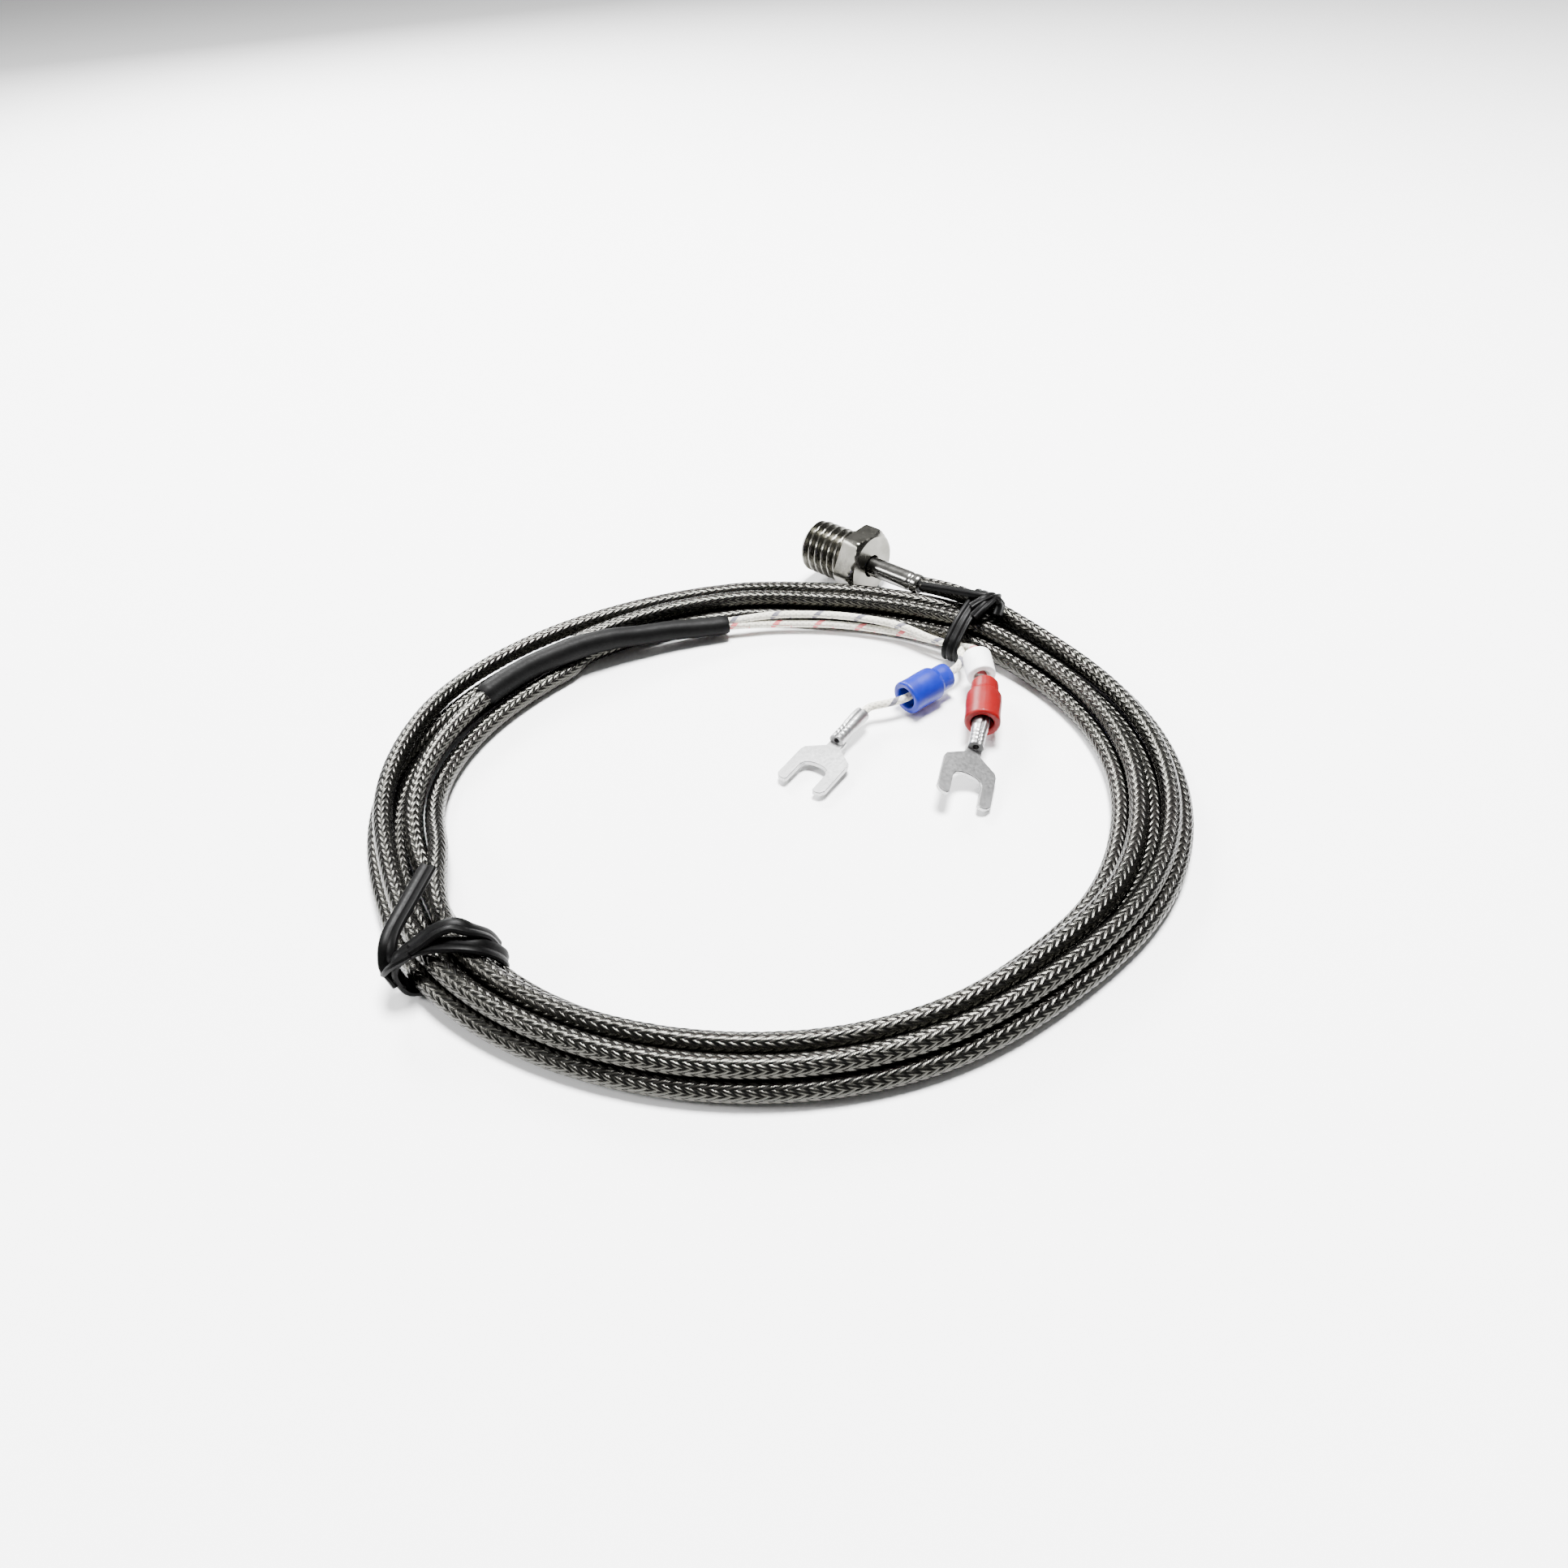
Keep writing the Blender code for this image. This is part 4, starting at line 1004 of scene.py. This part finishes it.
# bands and ends of the ties as (offset outward, distance along the ring, height)
RIGHT_LOOP = [(0.6, -1.0, 8.1), (3.2, -1.0, 8.3), (5.4, -1.0, 6.6), (6.1, -1.0, 3.4),
              (5.6, -1.0, 1.0), (3.0, -1.0, 0.45), (-2.0, -1.0, 0.42), (-6.8, -1.0, 0.5),
              (-8.6, -1.0, 1.8), (-8.5, -1.0, 4.0), (-6.6, -1.0, 5.4), (-3.6, -1.0, 7.0)]
RIGHT_STRANDS = [
    [(-3.4, -1.9, 7.6), (-1.4, -2.8, 8.9), (1.0, -3.4, 9.3), (1.4, -4.6, 8.4), (-0.4, -5.0, 7.2)],
    [(2.8, -3.6, 8.5), (1.4, -2.2, 9.2), (0.9, 1.0, 9.1), (0.7, 5.0, 8.7), (0.15, 10.1, 8.3)],
    [(-1.8, -0.6, 8.3), (0.2, -2.2, 9.4), (2.6, -3.0, 9.0), (4.2, -2.6, 7.8)],
]
LEFT_LOOP = [(7.0, -3.6, 5.0), (5.4, -2.9, 6.9), (3.1, -1.4, 7.65), (0.5, 1.2, 7.7),
             (-1.6, 3.2, 6.9), (-3.2, 4.0, 5.0), (-4.0, 4.2, 3.0), (-3.8, 3.6, 1.2),
             (-2.2, 2.4, 0.5), (1.5, 0.2, 0.45), (4.6, -2.0, 0.45), (6.6, -3.2, 1.3)]
LEFT_STRANDS = [
    [(-4.6, 2.4, 3.4), (-3.9, 1.9, 6.0), (-2.0, 1.2, 8.4), (-0.6, -0.2, 9.4), (1.4, -1.3, 9.1),
     (3.4, -2.0, 8.3), (5.6, -3.0, 7.2), (6.9, -3.8, 5.6)],
    [(7.3, -3.2, 3.0), (7.4, -4.2, 5.2), (6.6, -4.9, 7.2), (4.6, -6.4, 8.2), (0.4, -8.6, 8.9),
     (-4.6, -11.3, 9.5)],
    [(5.0, -2.0, 7.9), (6.9, -3.0, 7.0), (7.7, -4.0, 4.6), (6.8, -3.4, 2.2)],
]
tie_right = make_tie("coil_tie_right_ribbon", "coil_tie_right", TIE_RIGHT_TURN,
                     [RIGHT_LOOP, shifted(RIGHT_LOOP, 1.3)], RIGHT_STRANDS, 1.75)
tie_left = make_tie("coil_tie_left_ribbon", "coil_tie_left", TIE_LEFT_TURN, [LEFT_LOOP],
                    LEFT_STRANDS, 2.5)


# ---- floor and light

def make_floor():
    """Pale matt table top under everything."""
    data = bpy.data.meshes.new("floor")
    reach = 3.0
    data.from_pydata([(-reach, -reach, -0.0002), (reach, -reach, -0.0002), (reach, reach, -0.0002),
                      (-reach, reach, -0.0002)], [], [(0, 1, 2, 3)])
    floor = bpy.data.objects.new("floor", data)
    bpy.context.scene.collection.objects.link(floor)
    made, tree, shader, where = surface("pale_floor")
    tone = noise(tree, where, 400.0, 2.0)
    tree.links.new(ramp(tree, tone, [(0.3, grey(0.88)), (0.7, grey(0.90))]),
                   shader.inputs["Base Color"])
    shader.inputs["Roughness"].default_value = 0.9
    data.materials.append(made)


def area_light(name, place, target, size, power):
    data = bpy.data.lights.new(name, "AREA")
    data.shape = "DISK"
    data.size = size
    data.energy = power
    light = bpy.data.objects.new(name, data)
    light.location = place
    light.rotation_euler = (Vector(target) - Vector(place)).to_track_quat("-Z", "Y").to_euler()
    bpy.context.scene.collection.objects.link(light)


make_floor()
area_light("overhead", (0.05, 0.10, 0.70), (0.0, -0.05, 0.0), 0.26, 36.0)
area_light("behind", (-0.30, 0.60, 0.42), (0.0, -0.06, 0.0), 0.25, 14.0)
area_light("left", (-0.75, -0.10, 0.45), (0.0, -0.06, 0.0), 0.25, 7.0)


def make_world():
    """A bright ceiling that falls off towards the horizon, and darker on the viewer's side."""
    world = bpy.data.worlds.new("studio")
    world.use_nodes = True
    tree = world.node_tree
    way = node(tree, "SeparateXYZ", {0: tree.nodes.new("ShaderNodeTexCoord").outputs["Generated"]})
    lift = math_node(tree, "ADD", math_node(tree, "MULTIPLY", way.outputs[2], 0.75),
                     math_node(tree, "MULTIPLY", way.outputs[1], 0.35))
    shade = ramp(tree, lift, [(0.0, grey(0.05)), (0.35, grey(0.22)), (0.8, grey(0.55))])
    background = tree.nodes["Background"]
    tree.links.new(shade, background.inputs["Color"])
    background.inputs["Strength"].default_value = 1.0
    bpy.context.scene.world = world


make_world()
